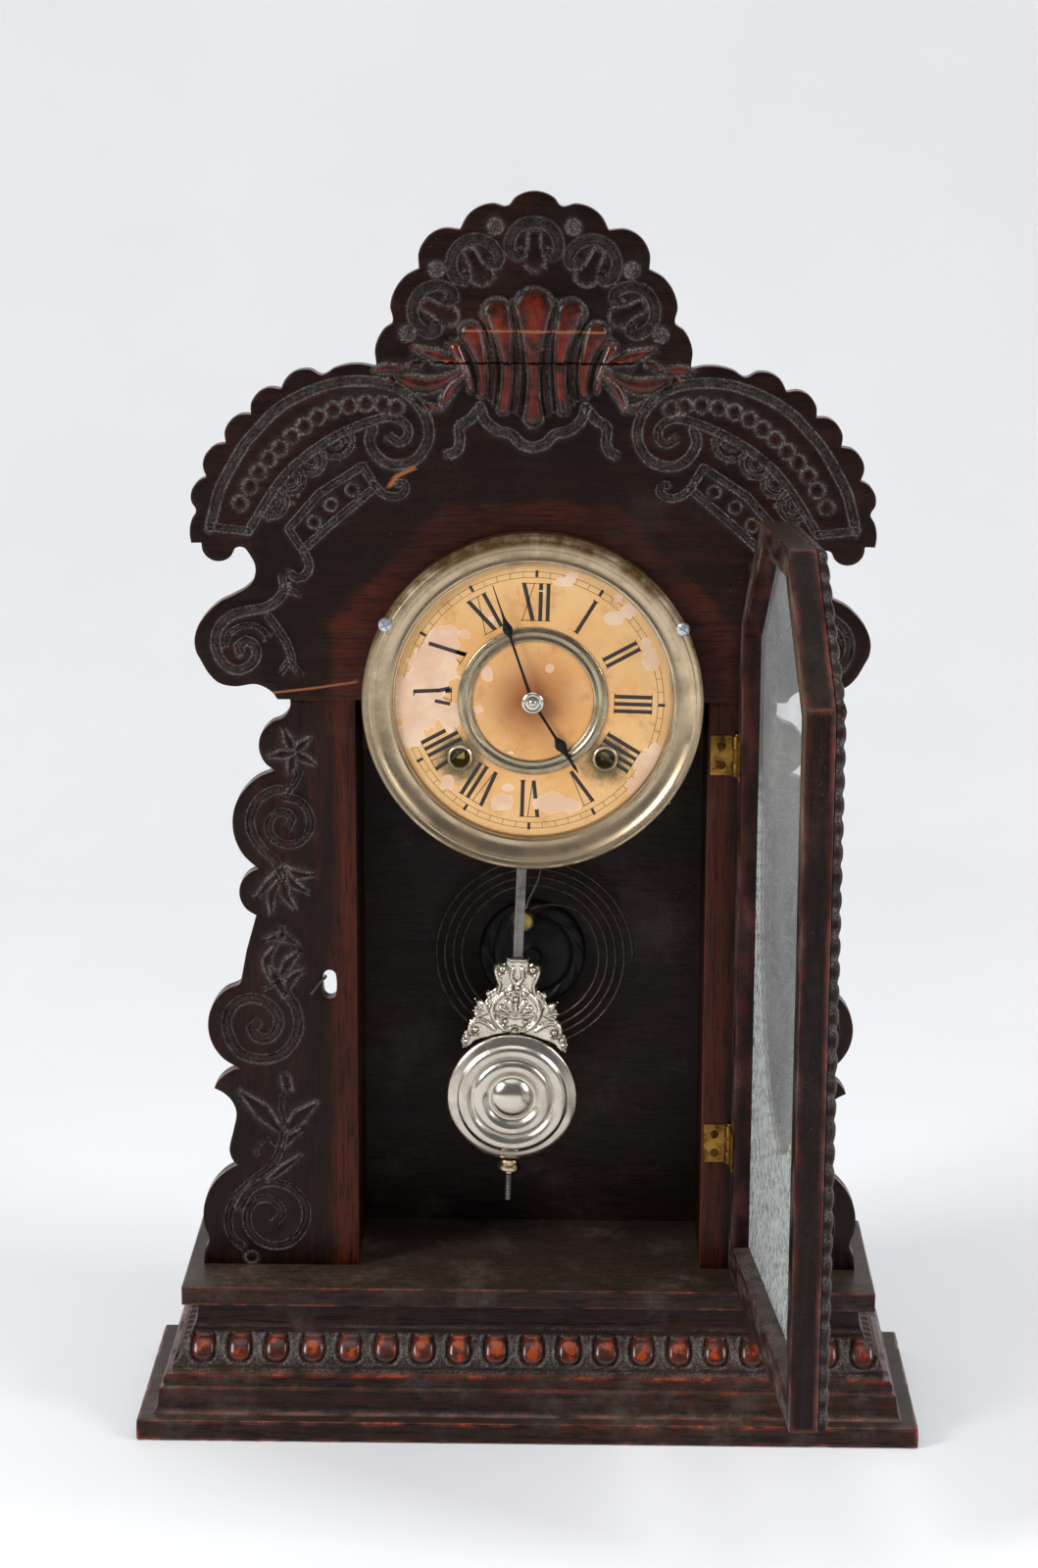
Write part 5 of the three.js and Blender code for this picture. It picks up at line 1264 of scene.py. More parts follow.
def door():
    w, t, r, e = STILE, DOOR_THICK, 0.5, 0.15  # r and e soften the arrises
    section = [(r, 0), (e, e), (0, r), (0, 3), (0, 6), (0, 9), (0, t - r), (e, t - e), (r, t), (4, t), (8, t),
               (w, t), (LIP - r, t), (LIP - e, t - e), (LIP, t - r), (LIP, LIP_BACK), (w, LIP_BACK), (w, 7),
               (w, 4), (w, r), (w - e, e), (w - r, 0), (8, 0), (4, 0)]
    members = ["door_hinge_stile", "door_upper_hinge_rail", "door_top_rail", "door_upper_latch_rail",
               "door_latch_stile", "door_bottom_rail"]
    frame_sweep("door_frame", section, lambda w: [w] * 5 + [w * BOTTOM_RAIL / STILE], members, "door", 2.4,
                lambda s, w, t: 0.0, frame_shade, 35.0)

    arch = [(BEAD_MIDDLE + BEAD_HALF * math.sin(a), BEAD_LOW + 1.6 + 2.5 * math.cos(a))
            for a in np.linspace(-1.45, 1.45, 11)]
    frame_sweep("door_bead_carved", [(0.3, BEAD_LOW), *arch, (6.8, BEAD_LOW)], lambda w: [w] * 6,
                ["door_bead"], "bead", 0.7, bead_lift, bead_shade, 50.0)

    pane = inset(DOOR_OUTLINE, [STILE + 0.3] * 5 + [BOTTOM_RAIL + 0.4])
    points = [on_door(u, z, t) for t in (PANE_BACK, PANE_FRONT) for u, z in pane]
    make("door_pane", points, ring_faces(2, len(pane)), "glass", "door", ["door_glass"], 30.0)


door()


# ---------- hinges and screws ----------

SCREW_STEPS, SCREW_SIDES = 12, 24


def slotted_screw(name, place, radius, height, body, look, turn, cross=False):
    """A domed screw head with a slot, or two crossed ones; place maps (across, up, out) to the frame."""
    profile = [(0, height), (0.4 * radius, 0.97 * height), (0.75 * radius, 0.75 * height),
               (radius, 0.3 * height), (radius, 0)]
    sectors = 4 if cross else 2
    span = TAU / sectors
    push = 0.13 * radius / math.sin(span / 2)
    points, faces = [], []
    for start in (turn + q * span for q in range(sectors)):
        away = (push * math.cos(start + span / 2), push * math.sin(start + span / 2))
        rows = []
        for r, h in profile:
            rows.append(range(len(points), len(points) + SCREW_STEPS + 1))
            for a in (start + span * k / SCREW_STEPS for k in range(SCREW_STEPS + 1)):
                x, z = r * math.cos(a) + away[0], r * math.sin(a) + away[1]
                scale = min(1.0, radius / max(math.hypot(x, z), 1e-6))
                points.append((x * scale, z * scale, h))
        for a, b in zip(rows, rows[1:]):
            faces.extend((a[k], a[k + 1], b[k + 1], b[k]) for k in range(SCREW_STEPS))
        floor = len(points)
        points.append((*points[rows[0][0]][:2], 0.0))
        faces.append([row[0] for row in rows] + [floor])
        faces.append([floor] + [row[-1] for row in reversed(rows)])
    # the disc under the slots
    faces.extend([len(points) + i for i in face] for face in ring_faces(2, SCREW_SIDES))
    points.extend((radius * math.cos(a), radius * math.sin(a), h) for h in (0.25 * height, 0)
                  for a in np.arange(SCREW_SIDES) * TAU / SCREW_SIDES)
    make(name, [place(*p) for p in points], faces, look, body, (), 40.0)


HINGE_HEIGHTS = {"upper": 313.3, "lower": 129.3}
HINGE_SCREWS = (-4.5, 4.5)  # above and below the hinge's middle


def hinges():
    for name, middle in HINGE_HEIGHTS.items():
        for part, bevel in (("door_leaf", 0.12), ("case_leaf", 0.12), ("pin", 0.15)):
            dress(f"{name}_hinge_{part}", "brass", bevel)
        for i, rise in enumerate(HINGE_SCREWS):
            def on_case(a, b, out, z=middle + rise):
                return (HINGE[0] - 7.1 + a, HINGE[1] + 1.5 - out, z + b)

            def on_leaf(a, b, out, z=middle + rise):
                return on_door(7.2 + a, z + b, 0.25 - out)

            slotted_screw(f"{name}_case_screw_{i}", on_case, 2.0, 0.2, "case", "screw", 0.5 + i)
            slotted_screw(f"{name}_door_screw_{i}", on_leaf, 2.0, 0.3, "door", "screw", 1.1 + i)


hinges()


# ---------- dial and hands ----------

X0, Z0 = DIAL[0], DIAL[2]
FACE_TURN = math.radians(1.5)
FLOOR_FRONT, FLOOR_BACK = -1.58, -1.0
PAPER_FRONT, PAPER_BACK = -1.9, -1.6
PAPER_RADIUS, HAND_HOLE, WINDING_HOLE = 62.2, 4.2, 5.05
PAN_PROFILE = [(62.25, -1.6), (62.5, -1.9), (62.8, -4.0), (63.3, -4.7), (64.2, -5.1), (65.0, -4.9),
               (65.8, -4.75), (67.5, -5.0), (69.5, -5.5), (71.3, -6.2), (72.2, -6.9), (72.8, -7.2),
               (73.4, -6.95), (74.0, -7.1), (74.6, -7.5), (75.4, -7.6), (76.2, -7.35), (76.6, -6.8),
               (76.7, -6.0), (76.7, -0.3), (76.1, -0.3), (76.1, -6.0), (74.4, -6.8), (72, -6.2), (65, -4.3),
               (62.2, -3.4), (61.8, -1.0), (62.25, -1.6)]
RING_PROFILE = [(27.2, -1.9), (27.5, -2.6), (28.2, -2.95), (29.0, -2.7), (29.6, -2.55), (30.3, -3.0),
                (31.2, -3.35), (32.2, -3.2), (32.7, -2.8), (33.2, -2.75), (33.6, -2.5), (33.8, -1.9),
                (27.2, -1.9)]
GROMMET_PROFILE = [(4.35, -0.4), (4.35, -2.3), (4.6, -2.6), (5.2, -2.7), (5.7, -2.4), (5.9, -1.9),
                   (4.75, -1.9), (4.75, -0.4), (4.35, -0.4)]
DIAL_SCREWS = [("left_dial_screw", -65.3, 373.3, 0.5, True), ("right_dial_screw", 67.1, 372.2, 2.6, False)]
SCREW_SEAT = -7.9
WORN_PATCHES = [(-50, 338, 12, 14), (-44, 352, 11, 10), (-41, 361, 8, 9), (-54, 322, 6, 6), (-37, 331, 5, 7),
                (-38, 369, 5, 3.4), (-30, 368, 2.4, 2.2), (13.5, 392, 4.4, 2), (18, 395, 2.8, 1.8),
                (36.5, 375.5, 4.6, 3), (42.5, 379, 3.6, 3.4), (38, 385, 2, 2), (53, 357, 4, 4.6),
                (51, 364, 2.4, 3), (52, 306, 5, 9), (47, 299, 4, 4), (56, 315, 2.6, 4), (-13.5, 291, 5, 3.6),
                (-10.6, 298, 2.6, 1.8), (9, 291, 8, 4.6), (17, 289.6, 6, 3.2), (-38, 300, 3, 3.4),
                (-24, 334, 2.8, 1.8), (-20, 350, 2.6, 3.4), (13, 309, 2, 1.6), (-9.6, 314, 1.4, 1),
                (7.6, 353, 1.8, 2), (5, 388, 1.4, 1.2), (-18, 375, 1.6, 1.2)]


def ragged_field(points):
    """How far the dial's print is worn away at each point in X and Z, ragged at the edges."""
    field = np.zeros(len(points))
    for x, z, half_x, half_z in WORN_PATCHES:
        d = np.hypot((points[:, 0] - x) / half_x, (points[:, 1] - z) / half_z)
        field = np.maximum(field, 1 - smoothstep(d, 0.55, 1.45))
    return field + 0.45 * ripple([(x * 0.35, 5.5, z * 0.35) for x, z in points])


def circle(x, z, radius, count):
    turns = np.arange(count) * TAU / count
    return np.array([(x + radius * math.cos(a), z + radius * math.sin(a)) for a in turns])


def pan_rust(points):
    """Rust on the top of the pan's rim and on its outer edge, and a little at the bottom."""
    across, up = points[:, 0] - X0, points[:, 2] - Z0
    radius = np.hypot(across, up)
    rust = smoothstep(up / radius, -0.1, 0.8) * smoothstep(radius, 68, 73)
    rust += 0.5 * smoothstep(radius, 74.5, 76)
    rust += 0.35 * smoothstep(-up / radius, 0.2, 1.0)
    return np.clip(rust, 0, 1)


def dial():
    points, faces = lathe(PAN_PROFILE, X0, Z0, 192)
    make("dial_pan_turned", points, faces, "nickel", "case", ["dial_pan"], 28.0,
         {"rust": pan_rust(np.array(points))})
    turned("dial_ring_turned", RING_PROFILE, X0, Z0, "ring", ["dial_centre_ring"], segments=160)
    flat = Carving(False, 0)
    loops = [circle(X0, Z0, PAPER_RADIUS, 160), circle(X0, Z0, HAND_HOLE, 24)]
    loops += [circle(X0 + side * WINDING_X, Z0 + WINDING_Z, WINDING_HOLE, 28) for side in (-1, 1)]
    points, faces, _ = relief_solid(loops, flat, FLOOR_FRONT, FLOOR_BACK, coarse=8.0, rim=0.02)
    make("dial_pan_floor", points, faces, "nickel", "case", (), 30.0)
    points, faces, attributes = relief_solid(loops, flat, PAPER_FRONT, PAPER_BACK, coarse=1.2, rim=0.05)
    attributes["bare"] = ragged_field(points[:, [0, 2]])
    make("dial_sheet", points, faces, "paper", "case", ["dial_paper"], 30.0, attributes)
    for side, node in ((-1, "left_winding_grommet"), (1, "right_winding_grommet")):
        x, z = X0 + side * WINDING_X, Z0 + WINDING_Z
        turned(node + "_turned", GROMMET_PROFILE, x, z, "nickel", [node])
    for node, x, z, turn, cross in DIAL_SCREWS:
        slotted_screw(node + "_head", lambda a, b, out: (x + a, SCREW_SEAT - out, z + b), 3.1, 1.7, "case",
                      "zinc", turn, cross)
        shank = [(0, SCREW_SEAT), (1.1, SCREW_SEAT), (1.1, 5), (0, 5)]
        turned(node + "_shank", shank, x, z, "steel", [node], segments=16, smooth=30.0)


def ink(name, strokes, whole=False):
    """Printed strokes, left out where the print is worn away unless whole.

    A stroke is its two ends, (across, along a radius of the dial), its width and the radius's turn.
    """
    quads = []
    for (a0, r0), (a1, r1), width, turn in strokes:
        length = math.hypot(a1 - a0, r1 - r0)
        count = max(1, int(length / 0.7))
        nx, nr = -(r1 - r0) / length * width / 2, (a1 - a0) / length * width / 2
        cos, sin = math.cos(turn), math.sin(turn)
        for k in range(count):
            corners = []
            for f, side in ((k / count, -1), ((k + 1) / count, -1), ((k + 1) / count, 1), (k / count, 1)):
                a = a0 + f * (a1 - a0) + side * nx
                r = r0 + f * (r1 - r0) + side * nr
                corners.append((X0 + a * cos + r * sin, Z0 - a * sin + r * cos))
            quads.append(corners)
    kept = ragged_field(np.array([np.mean(q, axis=0) for q in quads])) < 0.5
    points, faces = [], []
    for corners, keep in zip(quads, kept):
        if keep or whole:
            s = len(points)
            for depth in (PAPER_FRONT - 0.03, PAPER_FRONT + 0.02):
                points.extend((x, depth, z) for x, z in corners)
            faces += [[s, s + 1, s + 2, s + 3], [s + 7, s + 6, s + 5, s + 4]]
            faces += [(s + k, s + 4 + k, s + 4 + (k + 1) % 4, s + (k + 1) % 4) for k in range(4)]
    make(name, points, faces, "ink", "case", (), None, fix=False)


NUMERALS = ["XII", "I", "II", "III", "IIII", "V", "VI", "VII", "VIII", "IX", "X", "XI"]
LETTER_WIDTHS = {"I": 3.3, "V": 6.6, "X": 7.4}
LETTER_LOW, LETTER_HIGH = 36.6, 53.4  # from the dial's centre
THICK, HAIR, RULE = 1.75, 0.32, 0.2  # widths of strokes
MINUTE_INNER, MINUTE_OUTER, RULE_STEPS = 56.1, 58.7, 240


def hour_turn(hour):
    return hour * TAU / 12 + FACE_TURN


def figures():
    """Roman figures, tops outward: thick and hair strokes with hairline serifs."""
    low, high = LETTER_LOW, LETTER_HIGH
    strokes = []
    for hour, text in enumerate(NUMERALS):
        turn = hour_turn(hour)
        a = -sum(LETTER_WIDTHS[c] for c in text) / 2
        for c in text:
            w = LETTER_WIDTHS[c]
            if c == "I":
                strokes.append(((a + w / 2, low), (a + w / 2, high), THICK, turn))
            elif c == "V":
                strokes.append(((a + 1.2, high), (a + w / 2 + 0.1, low), THICK, turn))
                strokes.append(((a + w - 1.0, high), (a + w / 2 + 0.6, low), HAIR, turn))
            else:
                strokes.append(((a + 1.4, high), (a + w - 1.6, low), THICK + 0.1, turn))
                strokes.append(((a + w - 1.3, high), (a + 1.1, low), HAIR, turn))
            for level in (high,) if c == "V" else (low, high):
                strokes.append(((a + 0.2, level), (a + w - 0.2, level), HAIR, turn))
            a += w
    ink("dial_figures", strokes)

    ten, nine = hour_turn(10), hour_turn(9)
    ink("dial_remains", [
        ((-2.2, high), (2, low), THICK, ten), ((3.4, 42.6), (2.6, high), THICK, nine),
        ((4.6, 37.4), (3.2, 43), THICK, nine), ((-2.6, 37), (-1.4, 44), THICK * 0.9, nine),
        ((0.6, high), (3.4, high), 0.6, nine)], True)

    strokes = []
    for radius in (MINUTE_INNER, MINUTE_OUTER):
        reach = radius * math.pi / RULE_STEPS
        for k in range(RULE_STEPS):
            turn = (k + 0.5) * TAU / RULE_STEPS + FACE_TURN
            strokes.append(((-reach, radius), (reach, radius), RULE, turn))
    for minute in range(60):
        turn = minute * TAU / 60 + FACE_TURN
        if minute % 5:
            strokes.append(((0, MINUTE_INNER), (0, MINUTE_OUTER), RULE, turn))
        else:
            strokes.append(((0, MINUTE_INNER + 0.2), (0, MINUTE_OUTER + 0.6), 1.3, turn))
    ink("dial_minutes", strokes)


MINUTE_SHAPE = [(-4.2, 0.9), (-3.2, 2.3), (0, 2.9), (3.2, 2.3), (4.6, 0.8), (18, 0.55), (31.5, 0.62),
                (33, 1.5), (34.6, 2.3), (36.2, 2.15), (38, 1.3), (40.4, 0.62), (45, 0.4), (56.3, 0.2)]
HOUR_SHAPE = [(-4, 1.0), (-3, 2.6), (0, 3.4), (3.2, 2.6), (4.6, 0.8), (12, 0.6), (19.5, 0.7), (21.2, 1.7),
              (22.8, 2.6), (24.4, 2.6), (26.4, 1.6), (29, 0.85), (33, 0.55), (35.4, 0.9), (36.4, 0.5),
              (38.5, 0.25)]
NUT_PROFILE = [(1.3, -7.0), (1.9, -7.55), (2.6, -7.5), (3.2, -7.25), (3.9, -7.5), (4.5, -7.3), (4.9, -6.9),
               (4.8, -6.4), (1.3, -6.3), (1.3, -7.0)]


def hand(body, shape, turn, y):
    """A hand from (along, half width), domed in front and narrower at the back."""
    marks = np.array(shape, float)
    along = np.arange(marks[0, 0], marks[-1, 0], 0.35)
    width = np.interp(along, marks[:, 0], marks[:, 1])
    soft = np.convolve(np.pad(width, 2, mode="edge"), np.ones(5) / 5, "valid")
    cos, sin = math.cos(math.radians(turn)), math.sin(math.radians(turn))
    points = []
    for s, w in zip(along, soft):
        bulge = 0.16 + 0.06 * min(w, 2.5)
        section = [(-w, 0.08), (-0.55 * w, -0.5 * bulge), (0, -bulge), (0.55 * w, -0.5 * bulge), (w, 0.08),
                   (0.8 * w, 0.42), (-0.8 * w, 0.42)]
        points.extend((X0 + a * cos + s * sin, y + depth, Z0 - a * sin + s * cos) for a, depth in section)
    make(body + "_shaped", points, ring_faces(len(along), 7), "hands", body, [body], 50.0)


def hands():
    hand("minute_hand", MINUTE_SHAPE, -18.8, -6.1)
    hand("hour_hand", HOUR_SHAPE, 147.5, -4.5)
    pipe = [(2.6, -3.9), (2.6, 15), (1.6, 15), (1.6, -3.9), (2.6, -3.9)]
    turned("hour_pipe", pipe, X0, Z0, "brass", (), "hour_hand", 24)
    turned("hand_nut_turned", NUT_PROFILE, X0, Z0, "bright", ["hand_nut"], "minute_hand",
           smooth=35.0)
    end = corner_boxes("centre_wheel")[0][1]
    tip = [(0, end - 0.25), (0.9, end - 0.15), (1.5, end + 0.3), (1.5, -6.3), (0, -6.3)]
    turned("arbor_tip", tip, X0, Z0, "bright", (), "centre_wheel", 24)


dial()
figures()
hands()


# ---------- pendulum ----------

ORNAMENT = [(5.2, -162), (5.2, -165.4), (7.4, -164.2), (10.3, -165.2), (11.4, -168), (10.2, -171.6),
            (9.4, -175.6), (11.2, -178.2), (13.4, -178.2), (14.4, -179.8), (13.2, -181.4), (14.2, -183.4),
            (19.4, -182.2), (18.4, -185.4), (20.6, -187.4), (18.8, -190.6), (21.6, -193), (22.6, -197),
            (24.6, -203), (23.8, -206.4), (21.2, -205.2), (18, -202.2), (13, -200.6), (8, -199), (3, -198.2)]
BOB_DOWN = 229.2  # from the suspension to the bob's middle
BOB_PROFILE = [(0, 0), (1.2, 0.02), (3.6, 0.25), (6, 0.95), (8, 2.0), (9.3, 3.2), (9.9, 3.9), (10.6, 4.0),
               (11.4, 3.6), (12.2, 2.9), (13.6, 2.1), (15.2, 1.8), (16.8, 2.1), (17.8, 2.7), (18.4, 3.3),
               (19.1, 3.4), (19.8, 2.9), (20.8, 2.3), (22.4, 2.0), (24, 2.2), (25, 2.8), (25.5, 3.6),
               (26.4, 3.9), (28, 4.3), (29.6, 4.9), (30.3, 5.6), (30.5, 6.4), (30.3, 7.2), (29.4, 7.9),
               (26, 8.6), (0, 8.8)]
RATING_NUT = [(1.7, 260.0), (3.6, 260.0), (4.4, 261.0), (4.2, 262.0), (5.3, 262.6), (5.5, 263.4),
              (5.4, 264.4), (4.6, 265.0), (2.6, 265.2), (2.4, 266.6), (1.7, 266.6), (1.7, 260.0)]
THREAD_TOP, THREAD_PITCH, THREAD_TURNS = 266.9, 0.95, 14


def hanging(u, y, s):
    """A place in the pendulum: u across, s down from the suspension."""
    right = (math.cos(TILT), 0, -math.sin(TILT))
    return (PIVOT[0] + u * right[0] + s * ROD_AXIS[0], y, PIVOT[2] + u * right[2] + s * ROD_AXIS[2])


def ornament_carving():
    c = Carving(True, 0)

    def strap(points, width=1.0, height=1.0):
        c.leaf(points, [width * 0.8, width, width, width * 0.7], height, 0.5, 0.3, 0.0)

    strap([(0, -162.8), (-4.6, -162.8)], 0.8, 0.6)
    strap([(-7.2, -169.6), (-4.8, -168), (-5.4, -165.6), (-8, -165.4), (-9.8, -167.6), (-9.2, -171),
           (-7.8, -175), (-8.6, -178.6)], 0.9)
    strap([(-2, -167), (-2.6, -171), (-0.8, -174.4), (-3.6, -177.6), (-8, -181), (-10.8, -185.4),
           (-10.4, -190.4), (-7.4, -194.6), (-3.4, -196.6), (-0.6, -195.4)], 1.0, 1.1)
    strap([(-6, -192.4), (-4.4, -191), (-5.6, -189.2), (-7.2, -190.6)], 0.7, 0.8)
    for u, v, width in [(0, -180.6, 1.5), (-4, -183, 1.2), (-6.6, -186, 1.1), (-8.2, -189, 0.8)]:
        middle = (0.5 * u, 0.5 * (v - 190.6) + 0.4)
        c.leaf([(-0.4, -190.6), middle, (u, v)], [0.7, 0.9, width], 1.0, 0.5, 0.2, 0.0)
    for u, v, width in [(-18.6, -183, 1.4), (-19.8, -187.2, 1.4), (-17.6, -190, 1.4), (-14.6, -184.4, 1.3)]:
        c.leaf([(-13, -188.4), (u, v)], [0.8, width], 1.0, 0.5, 0.2, 0.0)
    strap([(-9.6, -196.4), (-13.6, -193.6), (-18, -192.6), (-21, -195.2), (-20.6, -198.8), (-17.6, -199.2),
           (-16.8, -196.8), (-18.6, -195.8)])
    for u, v, radius, height in [
            (-7, -167.6, 1.5, 1.5), (-13.2, -179.8, 1.2, 1.3), (0, -176.4, 1.2, 1.5),
            (-3.8, -179.4, 1.0, 1.3), (0, -182, 1.2, 1.6), (-18.3, -197.2, 1.3, 1.4), (-22, -200.8, 1.2, 1.0),
            (-22.9, -203, 1.0, 1.0), (-23.2, -205, 0.8, 0.9), (-4.6, -192.6, 1.0, 1.3),
            (0, -197.2, 1.2, 1.0)]:
        c.boss(u, v, radius, height)
    return c


def pendulum():
    dress("pendulum_rod", "steel", 0.2)
    dress("suspension_post", "brass", 0.2)
    dress("verge_crutch", "steel", 0.1, 1)
    low, high = corner_boxes("pendulum_ornament")
    outline = ORNAMENT + [(-u, v) for u, v in reversed(ORNAMENT)]
    loop = smooth_path(outline, 0.5, closed=True, corner=75.0)
    carving = ornament_carving()
    points, faces, attributes = relief_solid([loop], carving, low[1] + 1.1, high[1], coarse=0.7, rim=0.5)
    make("ornament_cast", [hanging(x, y, -z) for x, y, z in points], faces, "cast", "pendulum",
         ["pendulum_ornament"], 50.0, {"rust": attributes["dust_and_highlight"]})
    front = corner_boxes("pendulum_bob")[0][1]
    points, faces = lathe([(r, front + d) for r, d in BOB_PROFILE], 0, -BOB_DOWN, 144)
    make("bob_turned", [hanging(x, y, -z) for x, y, z in points], faces, "bright", "bob",
         ["pendulum_bob"], 40.0)
    on_rod("rating_nut_turned", RATING_NUT, "rating_nut", "nickel", ["rating_nut"], 32)
    thread = [(0, THREAD_TOP - 0.2)]
    for s in (THREAD_TOP + k * THREAD_PITCH for k in range(THREAD_TURNS)):
        thread += [(1.2, s), (1.55, s + 0.4)]
    on_rod("stem_thread", thread + [(1.0, 280.4), (0, 280.8)], "pendulum", "steel", (), 16)


def on_rod(name, profile, body, look, nodes, segments):
    """A profile of (radius, s) turned about the pendulum's rod."""
    points, faces = lathe(profile, 0, 0, segments)
    placed = [hanging(x, PIVOT[1] + z, s) for x, s, z in points]
    make(name, placed, faces, look, body, nodes, 40.0)


pendulum()


# ---------- striking, latch and movement ----------

GONG_X, GONG_Z, GONG_Y = 0.3, 202.9, 55.0  # GONG_Y is the coil's depth
HAMMER_X, HAMMER_Y, HAMMER_Z = -4, 50, 221.3
HAMMER_BALL = [(0, -3.6), (2.6, -3.3), (4.8, -2.2), (6.0, -0.8), (6.2, 0.6), (5.6, 2.0), (4.0, 3.0), (0, 3.4)]
GONG_RIM = [(25.3, 0), (25.3, 2.6), (24.9, 3.3), (24.2, 3.9)]  # (radius, out from the back board)
GONG_MIDDLE = [(18.6, 4.7), (18, 5.4), (16, 5.8), (14, 6), (8, 6.3), (5.2, 6.8), (4, 7.6)]
CAST_RING, CAST_RING_HALF = 21.6, 2.2
COIL_PITCHES = 16  # steps of the coil in a turn
COIL_STEPS, COIL_REACH = (0, 66, 67.8, 69.6, 71.4), (47.5, 31, 24, 16, 4.3)


def tube(path, radius, sides=8):
    """A round wire along a path in space."""
    tangent = np.gradient(path, axis=0)
    tangent /= np.linalg.norm(tangent, axis=1, keepdims=True)
    side = np.cross(tangent, (0, 1, 0))
    side /= np.maximum(np.linalg.norm(side, axis=1, keepdims=True), 1e-9)
    other = np.cross(tangent, side)
    turns = np.arange(sides) * TAU / sides
    points = []
    for p, a, b in zip(path, side, other):
        points.extend(p + radius * (math.cos(t) * a + math.sin(t) * b) for t in turns)
    return points, ring_faces(len(path), sides)


def striking():
    dress("hammer", "wire", 0.3, 2, 50)
    ball = [(radius, HAMMER_Y + depth) for radius, depth in HAMMER_BALL]
    turned("hammer_ball", ball, HAMMER_X, HAMMER_Z, "lamp_brass", (), "hammer", 40)
    wall = corner_boxes("gong_base")[1][1]
    profile = [(0, wall)] + [(radius, wall - out) for radius, out in GONG_RIM]
    profile += [(radius, wall - 4.1) for radius in np.arange(23.6, 19.4, -0.6)]
    profile += [(radius, wall - out) for radius, out in GONG_MIDDLE] + [(3.9, 53.6), (3.4, 53), (0, 53)]
    points, faces = lathe(profile, GONG_X, GONG_Z, 120)
    cast = []
    for x, y, z in points:
        inward = math.hypot(x - GONG_X, z - GONG_Z) - CAST_RING
        angle = math.atan2(z - GONG_Z, x - GONG_X)
        ring = max(0.0, 1 - (inward / CAST_RING_HALF)**2) * (y < wall - 3)
        cast.append((x, y - 1.1 * ring * max(0.0, math.sin(11 * angle + 0.9 * inward)), z))
    make("gong_base_cast", cast, faces, "iron", "case", ["gong_base"], 50.0)
    turn = np.arange(0, COIL_STEPS[-1], 0.16)
    reach = np.interp(turn, COIL_STEPS, COIL_REACH)
    angle = turn * TAU / COIL_PITCHES
    path = [GONG_X + reach * np.cos(angle), np.full(len(turn), GONG_Y), GONG_Z + reach * np.sin(angle)]
    points, faces = tube(np.stack(path, 1), 0.6)
    make("gong_wire", points, faces, "wire", "case", ["gong_coil"], 60.0)


def movement():
    for node in frame["nodes"]:
        if node.startswith("movement_") and "rail" not in node:
            dress(node, "lamp_brass", 0.1, 1)
        elif "wheel" in node or "great" in node or "arbor" in node:
            dress(node, "lamp_brass")
        elif "spring" in node:
            dress(node, "steel")
    dress("latch_keeper", "wire", smooth=60)


striking()
movement()


# ---------- floor, light and world ----------

FLOOR_HALF, FLOOR_FRONT_END, BACKDROP_AT, BACKDROP_BEND, BACKDROP_HEIGHT = 9.0, -9.0, 0.9, 0.9, 3.2


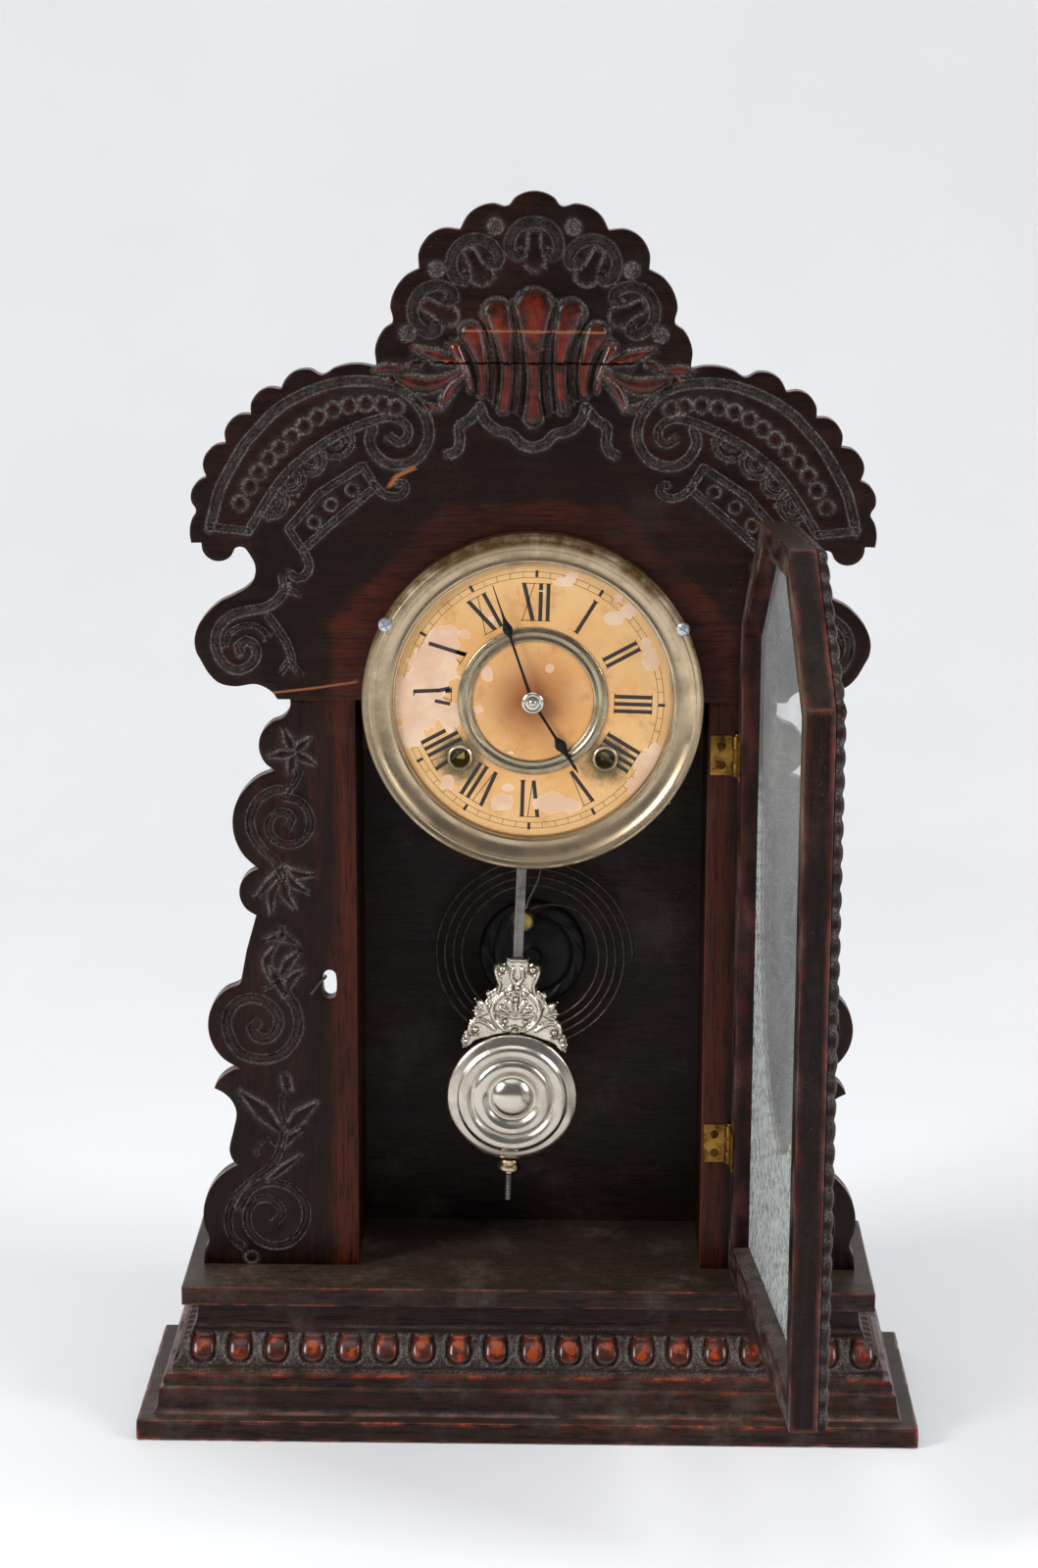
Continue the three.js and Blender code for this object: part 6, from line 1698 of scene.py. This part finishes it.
def stage():
    """A pale floor that curves up into a backdrop."""
    profile = [(y, 0.0) for y in (FLOOR_FRONT_END, -2.0, 0.0, BACKDROP_AT)]
    profile += [(BACKDROP_AT + BACKDROP_BEND * math.sin(t), BACKDROP_BEND - BACKDROP_BEND * math.cos(t))
                for t in np.linspace(0.08, math.pi / 2, 24)]
    profile.append((BACKDROP_AT + BACKDROP_BEND, BACKDROP_HEIGHT))
    points = [(x, y, z) for y, z in profile for x in (-FLOOR_HALF, FLOOR_HALF)]
    faces = [(2 * i, 2 * i + 1, 2 * i + 3, 2 * i + 2) for i in range(len(profile) - 1)]
    mesh = bpy.data.meshes.new("floor")
    mesh.from_pydata(points, [], faces)
    mesh.shade_smooth()
    obj = bpy.data.objects.new("floor", mesh)
    SCENE.collection.objects.link(obj)
    g = Graph("pale_floor")
    cloud = g.ramp(g.noise(g.coords, 3.0), 0.3, 0.7)
    g.set(base_color=g.mix(cloud, srgb(236, 237, 239), srgb(240, 241, 243)), roughness=0.9)
    g.specular(0.0)
    mesh.materials.append(g.material)


def light(name, kind, power):
    data = bpy.data.lights.new(name, kind)
    data.energy = power
    obj = bpy.data.objects.new(name, data)
    SCENE.collection.objects.link(obj)
    return obj


def softbox(name, at, watts):
    """A soft lamp aimed at the clock's middle."""
    obj = light(name, "AREA", watts)
    obj.data.shape = "RECTANGLE"
    obj.data.size, obj.data.size_y = 0.7, 1.0
    obj.location = at
    obj.rotation_mode = "QUATERNION"
    obj.rotation_quaternion = (Vector((0, 0, 0.3)) - Vector(at)).to_track_quat("-Z", "Y")


def lights():
    softbox("left_softbox", (-1.7, -1.1, 1.3), 38)
    softbox("right_softbox", (1.8, -0.8, 1.2), 29)
    overhead = light("overhead", "SUN", 0.92)
    overhead.data.angle = math.radians(60)
    overhead.rotation_euler = (math.radians(8), 0, 0)


def world():
    """A pale world that lights the clock less than it shows."""
    SCENE.world = bpy.data.worlds.new("world")
    SCENE.world.use_nodes = True
    nodes, links = SCENE.world.node_tree.nodes, SCENE.world.node_tree.links
    glow, seen = nodes["Background"], nodes.new("ShaderNodeBackground")
    for node, tone, strength in ((glow, srgb(224, 225, 228), 0.22), (seen, srgb(228, 230, 234), 1.0)):
        node.inputs["Color"].default_value = (*tone, 1)
        node.inputs["Strength"].default_value = strength
    path = nodes.new("ShaderNodeLightPath")
    mix = nodes.new("ShaderNodeMixShader")
    links.new(path.outputs["Is Camera Ray"], mix.inputs[0])
    links.new(glow.outputs[0], mix.inputs[1])
    links.new(seen.outputs[0], mix.inputs[2])
    links.new(mix.outputs[0], nodes["World Output"].inputs[0])


stage()
lights()
world()
SCENE.view_settings.view_transform = "Standard"
